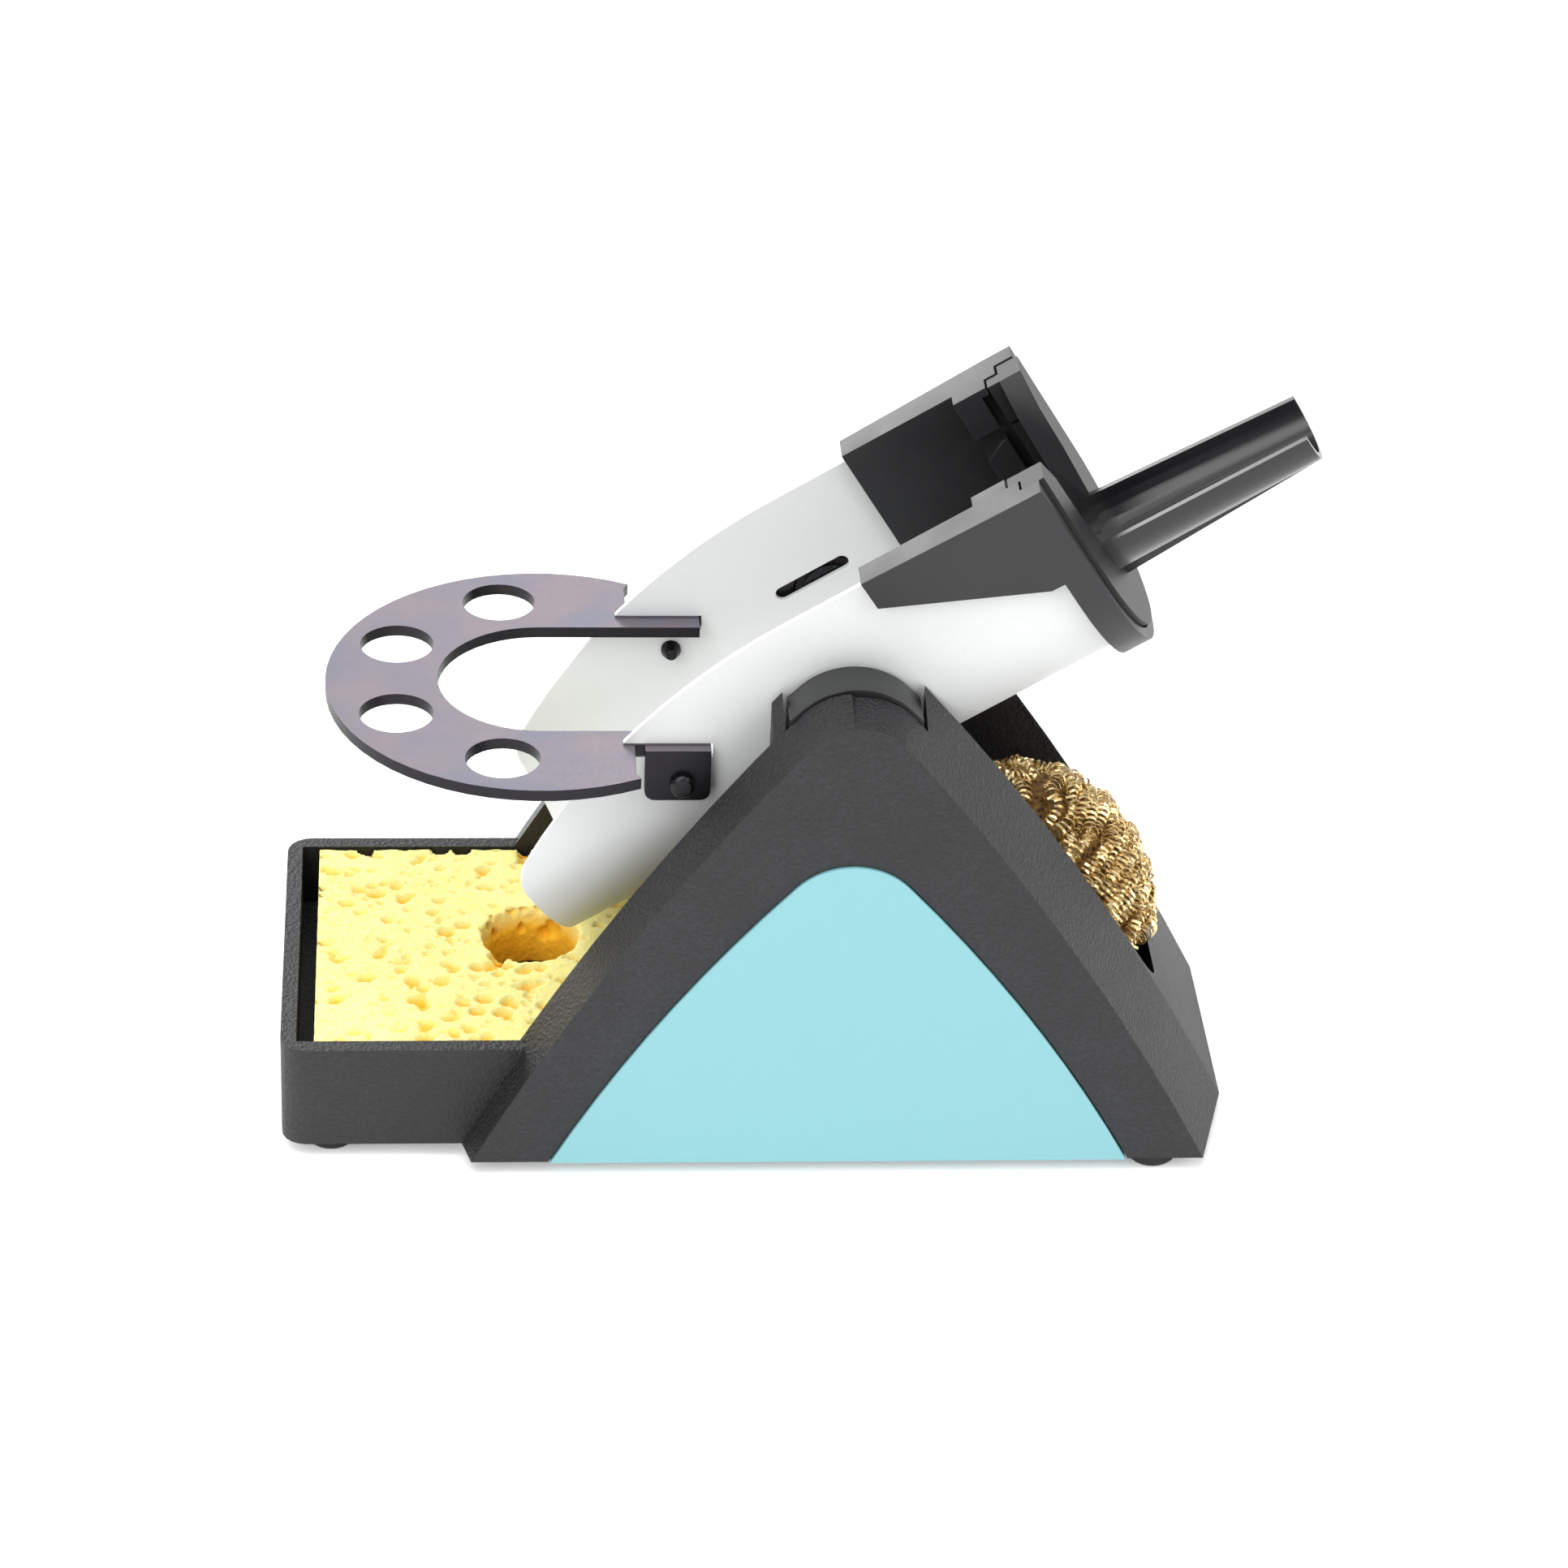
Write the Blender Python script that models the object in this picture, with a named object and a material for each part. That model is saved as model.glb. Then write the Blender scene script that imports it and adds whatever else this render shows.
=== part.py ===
"""Soldering iron stand: an A-frame base with a sponge tray, a tilting iron funnel and a tip holder.

Blender 4.5. Metres, +Z up, origin on the floor under the middle of the stand.
The iron's axis rises towards +X; the sponge tray is at -X and the brass wool at +X.
"""
from math import acos, asin, atan2, cos, pi, radians, sin, sqrt, tan

import bmesh
import bpy
from mathutils import Matrix, Vector

MM = 0.001
GAP = 0.3 * MM                    # clearance between pieces that touch
WALL = 2.5 * MM                   # moulded wall

# ---- funnel: half-round channel in the cradle's own frame ----
# S runs up the iron's axis, N is square to it, and both are zero on the pivot.
TILT = radians(32.3)
AXIS_N = 2.7 * MM                 # middle of the half-round channel above the pivot
FUNNEL_RADIUS = 20.4 * MM
SHEET = 1.0 * MM
FUNNEL_LOW_S = -59.5 * MM
FUNNEL_HIGH_S = 40.4 * MM
FUNNEL_TOP_N = 20.7 * MM          # top of the upright walls at the upper end
FUNNEL_SWEEP = 110.0 * MM         # radius of the curve by which the walls get lower
FUNNEL_CORNER = 2.6 * MM
SLOT_S = -1.2 * MM
SLOT_N = 4.9 * MM
SLOT_LENGTH = 13.4 * MM
SLOT_WIDTH = 2.4 * MM
SLOT_STEPS = 6

# ---- holder: lining inside the funnel, plates outside it, ring at the upper end ----
HOLDER_LOW_S = 14.2 * MM
RING_WIDTH = 4.9 * MM             # along S
HOLDER_HIGH_S = FUNNEL_HIGH_S + GAP + RING_WIDTH
HOLDER_TOP_N = FUNNEL_TOP_N + 1.7 * MM
LINING = 1.1 * MM
HOLDER_BORE = FUNNEL_RADIUS - SHEET - GAP - LINING    # half width and radius inside
ARM_LOW_THICK = 2.6 * MM          # side plate at its lower end
ARM_HIGH_THICK = 3.6 * MM         # and at its upper end
ARM_LOW_N = 17.0 * MM             # lower edge of the side plate at its lower end
ARM_KNEE_S = 38.4 * MM
ARM_KNEE_N = 5.4 * MM
RING_LOW_S = FUNNEL_HIGH_S + GAP
LINING_END_S = RING_LOW_S + 0.5 * MM
ARM_HALF = FUNNEL_RADIUS + GAP + ARM_HIGH_THICK    # half width over the plates, at the ring
GUIDE_S = 34.3 * MM
GUIDE_LENGTH = 4.5 * MM
GUIDE_DEPTH = 2.8 * MM
GUIDE_ROOT = 0.5 * MM             # the blocks reach this far into the lining
GUIDE_SPLIT_N = 12.6 * MM         # each guide is two blocks, with a gap between them
GUIDE_SPLIT = 2.2 * MM
GUIDE_LOW_N = 1.0 * MM
GUIDE_CHAMFER_S = 3.6 * MM        # the lower block slopes off at its corner
GUIDE_CHAMFER_N = 2.0 * MM
SHELF_THICK = 1.4 * MM            # the arm's top reaches inwards over the gap behind the guides

# ---- insert: a disc with a trough that carries the iron's cable end ----
SEAT_DEPTH = 2.3 * MM             # the insert's seat is this much wider than the bore
INSERT_RADIUS = HOLDER_BORE + SEAT_DEPTH
INSERT_PROUD = 0.8 * MM           # it stands this far out of the ring
INSERT_THICK = 3.8 * MM
INSERT_HIGH_S = HOLDER_HIGH_S + INSERT_PROUD
INSERT_LOW_S = INSERT_HIGH_S - INSERT_THICK
INSERT_TOP_N = HOLDER_TOP_N - 0.2 * MM
RING_WALL = 2.0 * MM              # ring around the seat
RING_RADIUS = INSERT_RADIUS + GAP + RING_WALL
EAR_HALF = HOLDER_BORE - GUIDE_DEPTH      # half width of the open mouth at the top
MOUTH_SHOULDER_HALF = EAR_HALF - 3.8 * MM    # and where the sloping corners of its ears end
MOUTH_SHOULDER_N = INSERT_TOP_N - 5.8 * MM
MOUTH_WAIST_HALF = MOUTH_SHOULDER_HALF - 0.7 * MM
MOUTH_WAIST_N = INSERT_TOP_N - 13.4 * MM
JAW_LENGTH = 2.1 * MM             # the insert's own guide blocks, behind its disc
JAW_SPLIT = 0.6 * MM
SHELF_END_S = INSERT_LOW_S - JAW_LENGTH - GAP
TROUGH_LENGTH = 35.7 * MM
TROUGH_END_S = INSERT_HIGH_S + TROUGH_LENGTH
TROUGH_ROOT_RADIUS = 8.8 * MM
TROUGH_END_RADIUS = 7.3 * MM
TROUGH_WALL = 1.1 * MM
TROUGH_ROOT_N = 0.6 * MM
TROUGH_END_N = -0.6 * MM
KEEL_ROOT_DEPTH = 2.2 * MM        # the keel reaches this far below the trough
KEEL_END_DEPTH = 0.6 * MM
KEEL_THICK = 1.6 * MM
KEEL_ROOT_N = TROUGH_ROOT_N - TROUGH_ROOT_RADIUS - KEEL_ROOT_DEPTH
KEEL_END_N = TROUGH_END_N - TROUGH_END_RADIUS - KEEL_END_DEPTH

# ---- sponge and the widths between the walls ----
SPONGE_LENGTH = 70.0 * MM
SPONGE_THICK = 10.5 * MM
SPONGE_HOLE = 8.2 * MM
SPONGE_HOLE_Y = 2.5 * MM
SPONGE_CORNER = 1.5 * MM
SPONGE_TO_END = 2.8 * MM          # between the sponge and the tray's end wall
SPONGE_TO_BOSS = 1.3 * MM         # between the sponge and the wall under the pivot
SWING_GAP = 1.1 * MM              # between the funnel and the walls it swings between
BEARING_DEPTH = 7.2 * MM          # length of the pivot bearings along Y
SIDE_THICK = 7.9 * MM             # wall beside the sponge, from inside to outer face
CHANNEL_HALF = FUNNEL_RADIUS + SWING_GAP
WALL_INNER_Y = CHANNEL_HALF + BEARING_DEPTH
FACE_Y = WALL_INNER_Y + SIDE_THICK     # half the width over the outer faces
TRAY_HALF = WALL_INNER_Y + 2.7 * MM

# ---- heights, from the floor up ----
BASE_BOTTOM = 2.4 * MM            # underside of the housing, above the floor
FLOOR_UNDER = BASE_BOTTOM + 3.1 * MM   # underside of the moulded floor
FLOOR_TOP = FLOOR_UNDER + 4.0 * MM     # floor under sponge and wool
SPONGE_TOP = FLOOR_TOP + GAP + SPONGE_THICK
TRAY_RIM = SPONGE_TOP + 0.3 * MM
LIP_CLEARANCE = 7.5 * MM          # from the sponge up to the funnel's lower lip
LIP_DROP = (FUNNEL_RADIUS - AXIS_N) * cos(TILT) - FUNNEL_LOW_S * sin(TILT)
PIVOT_Z = SPONGE_TOP + LIP_CLEARANCE + LIP_DROP
PIVOT_DROP = 8.7 * MM             # pivot axis below the arch's top
ARCH_TOP = PIVOT_Z + PIVOT_DROP   # on the arch's outer face
WEB_TOP = PIVOT_Z - 38.6 * MM     # top of the block between sponge and wool
COVER_TOP = ARCH_TOP - 24.9 * MM
TIP_TOP = PIVOT_Z - 3.9 * MM
SIDE_HOLLOW_FLOOR = FLOOR_UNDER + WALL

# ---- lengths, from the arch's middle; the origin is under the middle of the stand ----
BOSS_REACH = 12.7 * MM            # the sponge side ends at this wall
TRAY_REACH = BOSS_REACH + SPONGE_TO_BOSS + SPONGE_LENGTH + SPONGE_TO_END + WALL
TROUGH_REACH = (TROUGH_END_S - GAP) * cos(TILT) - KEEL_END_N * sin(TILT)
ARCH_X = (TRAY_REACH - TROUGH_REACH) / 2
BOSS_X = ARCH_X - BOSS_REACH
TRAY_END_X = ARCH_X - TRAY_REACH
WEB_END_X = ARCH_X + 5.6 * MM     # the block between sponge and wool ends here
TRAY_CORNER = 4.0 * MM            # rounding of the tray's upright outer corners

# ---- arch-shaped side walls ----
APEX_RADIUS = 9.5 * MM            # rounding of the arch's top on the outer face
FLANK_TOP_ANGLE = radians(50.0)   # slope of the flank where it leaves the rounding
FLANK_RADIUS = 426.0 * MM         # the flanks bulge slightly
DRAFT = 0.25                      # the sloping strip rises this much per unit of width
CAP_LIFT = 2.3 * MM               # how far the bearing cap rises over the outer face
RIDGE_LIP = 0.5 * MM              # the strip's inner edge stands back from the channel
RIDGE_TOP_Y = CHANNEL_HALF + RIDGE_LIP
RIDGE_FOOT_Y = RIDGE_TOP_Y - 3.4 * MM  # half width between the inner edges at the wool side's foot

# ---- wool pocket ----
POCKET_START_HALF = CHANNEL_HALF - 0.6 * MM
POCKET_END_HALF = RIDGE_FOOT_Y - 0.4 * MM
POCKET_CORNER = 4.0 * MM
POCKET_RIM = 24.2 * MM            # top of the pocket's end wall

# ---- covers ----
COVER_APEX_RADIUS = 12.0 * MM
COVER_TOP_ANGLE = radians(47.0)
COVER_FLANK_RADIUS = 256.0 * MM
COVER_THICK = 2.0 * MM
COVER_PROUD = 0.4 * MM            # the cover stands this far out of its recess
COVER_LEDGE = 2.5 * MM            # ledge that the cover sits on
DEEP_HOLLOW_X = WEB_END_X + WALL  # the hollow behind a cover is deeper from here on

# ---- pivot ----
CAP_HALF = 10.4 * MM              # half the width of the bearing block
NOTCH_SIDE_GAP = 0.7 * MM
NOTCH_DROP = 6.6 * MM             # floor of the notch below the pivot axis
STUD_RADIUS = 3.0 * MM
STUD_FLANGE_RADIUS = 5.2 * MM
STUD_FLANGE = 0.5 * MM
STUD_END_GAP = 1.0 * MM           # the stud stops this short of the block's outer face
WASHER_RADIUS = STUD_RADIUS + 3.2 * MM
WASHER_THICK = 1.0 * MM

# ---- tip holder ----
TIP_THICK = 1.9 * MM
TIP_CENTRE_X = ARCH_X - 48.2 * MM
TIP_PITCH = 25.0 * MM             # radius of the circle that the holes lie on
TIP_MARGIN = 8.9 * MM             # from that circle to both edges of the plate
TIP_HOLE = 5.85 * MM
TIP_HOLE_ANGLES = (radians(104.0), radians(154.5))
TIP_ARM_X = ARCH_X - 33.7 * MM
TIP_ARM_HALF = FUNNEL_RADIUS + 8.5 * MM
TAB_LOW_X = TIP_ARM_X + 1.6 * MM
TAB_HIGH_X = TAB_LOW_X + 10.3 * MM
TAB_DROP = 9.0 * MM
TAB_THICK = 1.6 * MM
TAB_CORNER = 1.6 * MM
TAB_INNER_Y = FUNNEL_RADIUS + GAP
SLIT_END_GAP = 0.4 * MM
RIVET_X = (TAB_LOW_X + TAB_HIGH_X) / 2 + 0.7 * MM
RIVET_Z = TIP_TOP - 5.9 * MM
RIVET_HEAD = 2.0 * MM
RIVET_CROWN = 1.5 * MM            # radius of the flat on the head
RIVET_HEAD_THICK = 1.3 * MM
RIVET_RIM_THICK = 0.8 * MM
RIVET_SHANK = 1.3 * MM
RIVET_BARB = 1.7 * MM
RIVET_TIP = 0.9 * MM
RIVET_BARB_LENGTH = 1.7 * MM

# ---- brass wool ----
WOOL_CENTRE = Vector((ARCH_X + 34.6 * MM, 0.0, FLOOR_TOP + 22.0 * MM))
WOOL_SEMI = Vector((18.5 * MM, POCKET_END_HALF - 0.6 * MM, 24.0 * MM))
WOOL_LEAN = radians(-30.0)
WOOL_PULL = radians(35.0)         # it is pulled out this steeply

# ---- feet, ballast and its screws ----
FOOT_RADIUS = 4.1 * MM
FOOT_CHAMFER = 0.6 * MM
FOOT_SEAT = 0.8 * MM
FOOT_INSET_X = 7.9 * MM
FOOT_LEFT_INSET_Y = 5.5 * MM
FOOT_RIGHT_INSET_Y = 4.6 * MM
BALLAST_INSET = 15.9 * MM         # from each end of the housing
BALLAST_HALF = WALL_INNER_Y - 3.7 * MM
BALLAST_THICK = 2.0 * MM
SCREW_RADIUS = 1.5 * MM
SCREW_HEAD = 2.8 * MM
SCREW_HEAD_CHAMFER = 0.5 * MM
SCREW_HEAD_THICK = 1.4 * MM
SCREW_REACH = 2.4 * MM            # thread inside the housing's floor
SCREW_INSET = 7.0 * MM

PIVOT = Vector((ARCH_X, 0.0, PIVOT_Z))
FAR = 300.0 * MM                  # longer than anything it has to cut through


# ---------------------------------------------------------------- helpers

def clear_scene():
    for obj in list(bpy.data.objects):
        bpy.data.objects.remove(obj, do_unlink=True)


def material(name, colour, roughness, metallic=0.0):
    mat = bpy.data.materials.new(name)
    mat.use_nodes = True
    shader = mat.node_tree.nodes["Principled BSDF"]
    shader.inputs["Base Color"].default_value = (*colour, 1.0)
    shader.inputs["Roughness"].default_value = roughness
    shader.inputs["Metallic"].default_value = metallic
    return mat


def add_object(name, bm, mat=None):
    """A new object from a bmesh, its faces turned outwards."""
    bmesh.ops.recalc_face_normals(bm, faces=bm.faces)
    mesh = bpy.data.meshes.new(name)
    bm.to_mesh(mesh)
    bm.free()
    obj = bpy.data.objects.new(name, mesh)
    bpy.context.scene.collection.objects.link(obj)
    if mat is not None:
        mesh.materials.append(mat)
    return obj


def as_tool(obj):
    """Marks an object as a cutter or a filler that isn't a piece of its own."""
    obj.hide_render = True
    obj.display_type = "WIRE"
    return obj


def combine(obj, tool, operation):
    modifier = obj.modifiers.new(operation.lower() + "_" + tool.name, "BOOLEAN")
    modifier.operation = operation
    modifier.solver = "EXACT"
    modifier.object = as_tool(tool)


def cut(obj, *tools):
    for tool in tools:
        combine(obj, tool, "DIFFERENCE")


def join(obj, *tools):
    for tool in tools:
        combine(obj, tool, "UNION")


def loft(name, rings, mat=None):
    """A closed solid through rings of equally many points; the first and last ring are capped."""
    bm = bmesh.new()
    rows = [[bm.verts.new(p) for p in ring] for ring in rings]
    count = len(rows[0])
    for low, high in zip(rows, rows[1:]):
        for i in range(count):
            j = (i + 1) % count
            bm.faces.new((low[i], low[j], high[j], high[i]))
    bm.faces.new(rows[0])
    bm.faces.new(list(reversed(rows[-1])))
    return add_object(name, bm, mat)


def flatten_faces(obj):
    """Splits the faces into triangles, so that no warped face is left for the cuts to guess at."""
    bm = bmesh.new()
    bm.from_mesh(obj.data)
    bmesh.ops.triangulate(bm, faces=bm.faces)
    bm.to_mesh(obj.data)
    bm.free()


def prism(name, outline, axis, low, high, mat=None):
    """Extrudes an outline along an axis. The outline's two numbers are the other two axes in order."""
    def place(point, along):
        spots = list(point)
        spots.insert(axis, along)
        return spots
    return loft(name, [[place(p, low) for p in outline], [place(p, high) for p in outline]], mat)


def box(name, low, high, mat=None):
    outline = [(low[0], low[1]), (high[0], low[1]), (high[0], high[1]), (low[0], high[1])]
    return prism(name, outline, 2, low[2], high[2], mat)


def circle(radius, centre=(0.0, 0.0), steps=24):
    return [(centre[0] + radius * cos(2 * pi * i / steps), centre[1] + radius * sin(2 * pi * i / steps))
            for i in range(steps)]


def arc(centre, radius, start, end, steps):
    return [(centre[0] + radius * cos(start + (end - start) * i / steps),
             centre[1] + radius * sin(start + (end - start) * i / steps)) for i in range(steps + 1)]


def rounded_rectangle(low, high, radius, steps=5):
    (x0, y0), (x1, y1) = low, high
    centres = ((x1 - radius, y1 - radius, 0.0), (x0 + radius, y1 - radius, pi / 2),
               (x0 + radius, y0 + radius, pi), (x1 - radius, y0 + radius, 3 * pi / 2))
    points = []
    for cx, cy, start in centres:
        points += arc((cx, cy), radius, start, start + pi / 2, steps)
    return points


def disc(name, radius, axis, low, high, centre, mat=None, steps=24):
    """A cylinder; centre holds the other two coordinates in order."""
    return prism(name, circle(radius, centre, steps), axis, low, high, mat)


# ---------------------------------------------------------------- arch outlines

def arch_half(top, apex_radius, top_angle, flank_radius, offset, foot, steps=9):
    """Points (U, Z) from the top of an arch down its right flank to the height foot.

    A rounding of apex_radius meets a flank of flank_radius; offset pushes both outwards."""
    apex_z = top - apex_radius
    meet = top_angle
    flank_u = (apex_radius - flank_radius) * sin(meet)
    flank_z = apex_z + (apex_radius - flank_radius) * cos(meet)
    foot_angle = acos((foot - flank_z) / (flank_radius + offset))
    points = [((apex_radius + offset) * sin(meet * i / steps),
               apex_z + (apex_radius + offset) * cos(meet * i / steps)) for i in range(steps)]
    for i in range(steps + 1):
        angle = meet + (foot_angle - meet) * i / steps
        points.append((flank_u + (flank_radius + offset) * sin(angle),
                       flank_z + (flank_radius + offset) * cos(angle)))
    return points


def arch_outline(half):
    """The whole outline (X, Z), from the right foot over the top to the left foot."""
    right = [(ARCH_X + u, z) for u, z in reversed(half)]
    left = [(ARCH_X - u, z) for u, z in half[1:]]
    return right + left


def body_half(offset):
    return arch_half(ARCH_TOP, APEX_RADIUS, FLANK_TOP_ANGLE, FLANK_RADIUS, offset, BASE_BOTTOM)


def flank_reach(offset, height):
    """How far the flank is from the arch's middle at a height."""
    middle_u = (APEX_RADIUS - FLANK_RADIUS) * sin(FLANK_TOP_ANGLE)
    middle_z = ARCH_TOP - APEX_RADIUS + (APEX_RADIUS - FLANK_RADIUS) * cos(FLANK_TOP_ANGLE)
    return middle_u + sqrt((FLANK_RADIUS + offset) ** 2 - (height - middle_z) ** 2)


def ridge_line(side):
    """Inner edge of the sloping strip: points (X, Y, Z) over the arch on the side y = side."""
    steps = len(body_half(0.0))
    right = []
    for i in range(steps):
        share = i / (steps - 1)
        half_width = RIDGE_TOP_Y + (RIDGE_FOOT_Y - RIDGE_TOP_Y) * share
        full_lift = DRAFT * (FACE_Y - half_width)
        lift = CAP_LIFT + (full_lift - CAP_LIFT) * min(1.0, 2.0 * share)
        u, z = body_half(lift)[i]
        right.append((ARCH_X + u, side * half_width, z))
    left = []
    for u, z in body_half(DRAFT * (FACE_Y - RIDGE_TOP_Y))[1:]:
        left.append((ARCH_X - u, side * RIDGE_TOP_Y, z))
    return list(reversed(right)) + left


def cover_outline(offset, foot):
    half = arch_half(COVER_TOP, COVER_APEX_RADIUS, COVER_TOP_ANGLE, COVER_FLANK_RADIUS, offset, foot)
    return arch_outline(half)


# ---------------------------------------------------------------- base

def tray_block():
    outline = rounded_rectangle((TRAY_END_X, -TRAY_HALF), (BOSS_X, TRAY_HALF), TRAY_CORNER)
    return prism("tray_block", outline, 2, BASE_BOTTOM, TRAY_RIM)


def strip_body():
    """The arch with its faces and sloping strips, solid."""
    rings = []
    outline = arch_outline(body_half(0.0))
    rings.append([(x, -FACE_Y, z) for x, z in outline])
    rings.append(ridge_line(-1.0))
    rings.append(ridge_line(1.0))
    rings.append([(x, FACE_Y, z) for x, z in outline])
    return rings


def pocket_end():
    return ARCH_X + flank_reach(DRAFT * (FACE_Y - POCKET_END_HALF), POCKET_RIM)


def wool_pocket():
    end_x = pocket_end()
    outline = [(WEB_END_X, -POCKET_START_HALF)]
    turn = atan2(POCKET_START_HALF - POCKET_END_HALF, end_x - WEB_END_X)
    centre = (end_x - POCKET_CORNER, -POCKET_END_HALF + POCKET_CORNER)
    outline += arc(centre, POCKET_CORNER, -pi / 2 + turn, 0.0, 5)
    outline += [(x, -y) for x, y in reversed(outline)]
    return prism("wool_pocket", outline, 2, FLOOR_TOP, FAR)


def side_cavities(side):
    """The hollow behind a cover, deeper on the wool side, where the wall is thicker."""
    ledge_outline = cover_outline(-COVER_LEDGE, SIDE_HOLLOW_FLOOR)
    shallow = WALL_INNER_Y + WALL
    name = "front" if side < 0 else "back"
    hollow = prism("hollow_" + name, ledge_outline, 1, side * shallow, side * (FACE_Y + WALL))
    deep_y = RIDGE_TOP_Y + WALL
    half = [(x, z) for x, z in ledge_outline if x > DEEP_HOLLOW_X]
    cut_top = half[-1][1]
    deep_outline = half + [(DEEP_HOLLOW_X, cut_top), (DEEP_HOLLOW_X, half[0][1])]
    deep = prism("deep_hollow_" + name, deep_outline, 1, side * deep_y, side * (shallow + WALL / 2))
    return hollow, deep


def base_housing(mat):
    housing = loft("base_housing", strip_body(), mat)
    flatten_faces(housing)
    join(housing, tray_block())
    cut(housing, box("tray_pocket", (TRAY_END_X + WALL, -WALL_INNER_Y, FLOOR_TOP),
                     (BOSS_X, WALL_INNER_Y, FAR)))
    cut(housing, box("funnel_channel", (BOSS_X - WALL, -CHANNEL_HALF, WEB_TOP),
                     (WEB_END_X + WALL, CHANNEL_HALF, FAR)))
    cut(housing, wool_pocket())
    low_x, high_x = ballast_ends()
    cut(housing, box("floor_cavity", (low_x - GAP, -BALLAST_HALF - GAP, BASE_BOTTOM - WALL),
                     (high_x + GAP, BALLAST_HALF + GAP, FLOOR_UNDER)))
    cut(housing, box("web_cavity", (BOSS_X + WALL, -CHANNEL_HALF + WALL, FLOOR_UNDER - WALL),
                     (WEB_END_X - WALL, CHANNEL_HALF - WALL, WEB_TOP - WALL)))
    for side, name in ((-1.0, "front"), (1.0, "back")):
        recess = cover_outline(GAP, BASE_BOTTOM - WALL)
        depth = COVER_THICK - COVER_PROUD + GAP
        cut(housing, prism("recess_" + name, recess, 1, side * (FACE_Y - depth), side * (FACE_Y + WALL)))
        cut(housing, *side_cavities(side))
        notch_half = CAP_HALF + NOTCH_SIDE_GAP
        low_y, high_y = sorted((side * (CHANNEL_HALF - WALL), side * (WALL_INNER_Y + GAP)))
        cut(housing, box("notch_" + name, (ARCH_X - notch_half, low_y, PIVOT_Z - NOTCH_DROP),
                         (ARCH_X + notch_half, high_y, FAR)))
        for x, y in foot_places():
            cut(housing, disc("seat_%s_%d" % (name, x > 0), FOOT_RADIUS + GAP, 2, BASE_BOTTOM - WALL,
                              BASE_BOTTOM + FOOT_SEAT, (x, side * y)))
    for i, (x, y) in enumerate(screw_places()):
        cut(housing, disc("pilot_%d" % i, SCREW_RADIUS + GAP, 2, FLOOR_UNDER - WALL,
                          FLOOR_UNDER + SCREW_REACH + GAP, (x, y), steps=12))
    return housing


def cover(name, side, mat):
    outline = cover_outline(0.0, BASE_BOTTOM)
    outer = FACE_Y + COVER_PROUD
    return prism(name, outline, 1, side * (outer - COVER_THICK), side * outer, mat)


def foot_places():
    """(X, Y) of the left and the right foot of one side."""
    right_end = ARCH_X + flank_reach(0.0, BASE_BOTTOM)
    return ((TRAY_END_X + FOOT_INSET_X, TRAY_HALF - FOOT_LEFT_INSET_Y),
            (right_end - FOOT_INSET_X, FACE_Y - FOOT_RIGHT_INSET_Y))


def foot(name, x, y, mat):
    rings = []
    profile = ((FOOT_RADIUS - FOOT_CHAMFER, 0.0), (FOOT_RADIUS, FOOT_CHAMFER),
               (FOOT_RADIUS, BASE_BOTTOM + FOOT_SEAT - GAP))
    for radius, z in profile:
        rings.append([(px, py, z) for px, py in circle(radius, (x, y))])
    return loft(name, rings, mat)


def ballast_ends():
    return TRAY_END_X + BALLAST_INSET, ARCH_X + flank_reach(0.0, BASE_BOTTOM) - BALLAST_INSET


def screw_places():
    low_x, high_x = ballast_ends()
    xs = (low_x + SCREW_INSET, high_x - SCREW_INSET)
    return [(x, side * (BALLAST_HALF - SCREW_INSET)) for x in xs for side in (-1.0, 1.0)]


def ballast_plate(mat):
    top = FLOOR_UNDER - GAP
    low_x, high_x = ballast_ends()
    plate = box("ballast_plate", (low_x, -BALLAST_HALF, top - BALLAST_THICK),
                (high_x, BALLAST_HALF, top), mat)
    for i, (x, y) in enumerate(screw_places()):
        cut(plate, disc("clearance_%d" % i, SCREW_RADIUS + GAP, 2, top - 2 * BALLAST_THICK, top + WALL,
                        (x, y), steps=12))
    return plate


def ballast_screw(name, x, y, mat):
    head_top = FLOOR_UNDER - GAP - BALLAST_THICK - GAP
    head_low = head_top - SCREW_HEAD_THICK
    rings = []
    profile = ((SCREW_HEAD - SCREW_HEAD_CHAMFER, head_low), (SCREW_HEAD, head_low + SCREW_HEAD_CHAMFER),
               (SCREW_HEAD, head_top), (SCREW_RADIUS, head_top), (SCREW_RADIUS, FLOOR_UNDER + SCREW_REACH))
    for radius, z in profile:
        rings.append([(px, py, z) for px, py in circle(radius, (x, y), 12)])
    return loft(name, rings, mat)


def sponge(mat):
    low_x = TRAY_END_X + WALL + SPONGE_TO_END
    half = WALL_INNER_Y - GAP
    outline = rounded_rectangle((low_x, -half), (low_x + SPONGE_LENGTH, half), SPONGE_CORNER, 3)
    solid = prism("sponge", outline, 2, FLOOR_TOP + GAP, SPONGE_TOP, mat)
    cut(solid, disc("sponge_hole", SPONGE_HOLE, 2, BASE_BOTTOM, FAR,
                    (low_x + SPONGE_LENGTH / 2, SPONGE_HOLE_Y)))
    return solid


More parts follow.
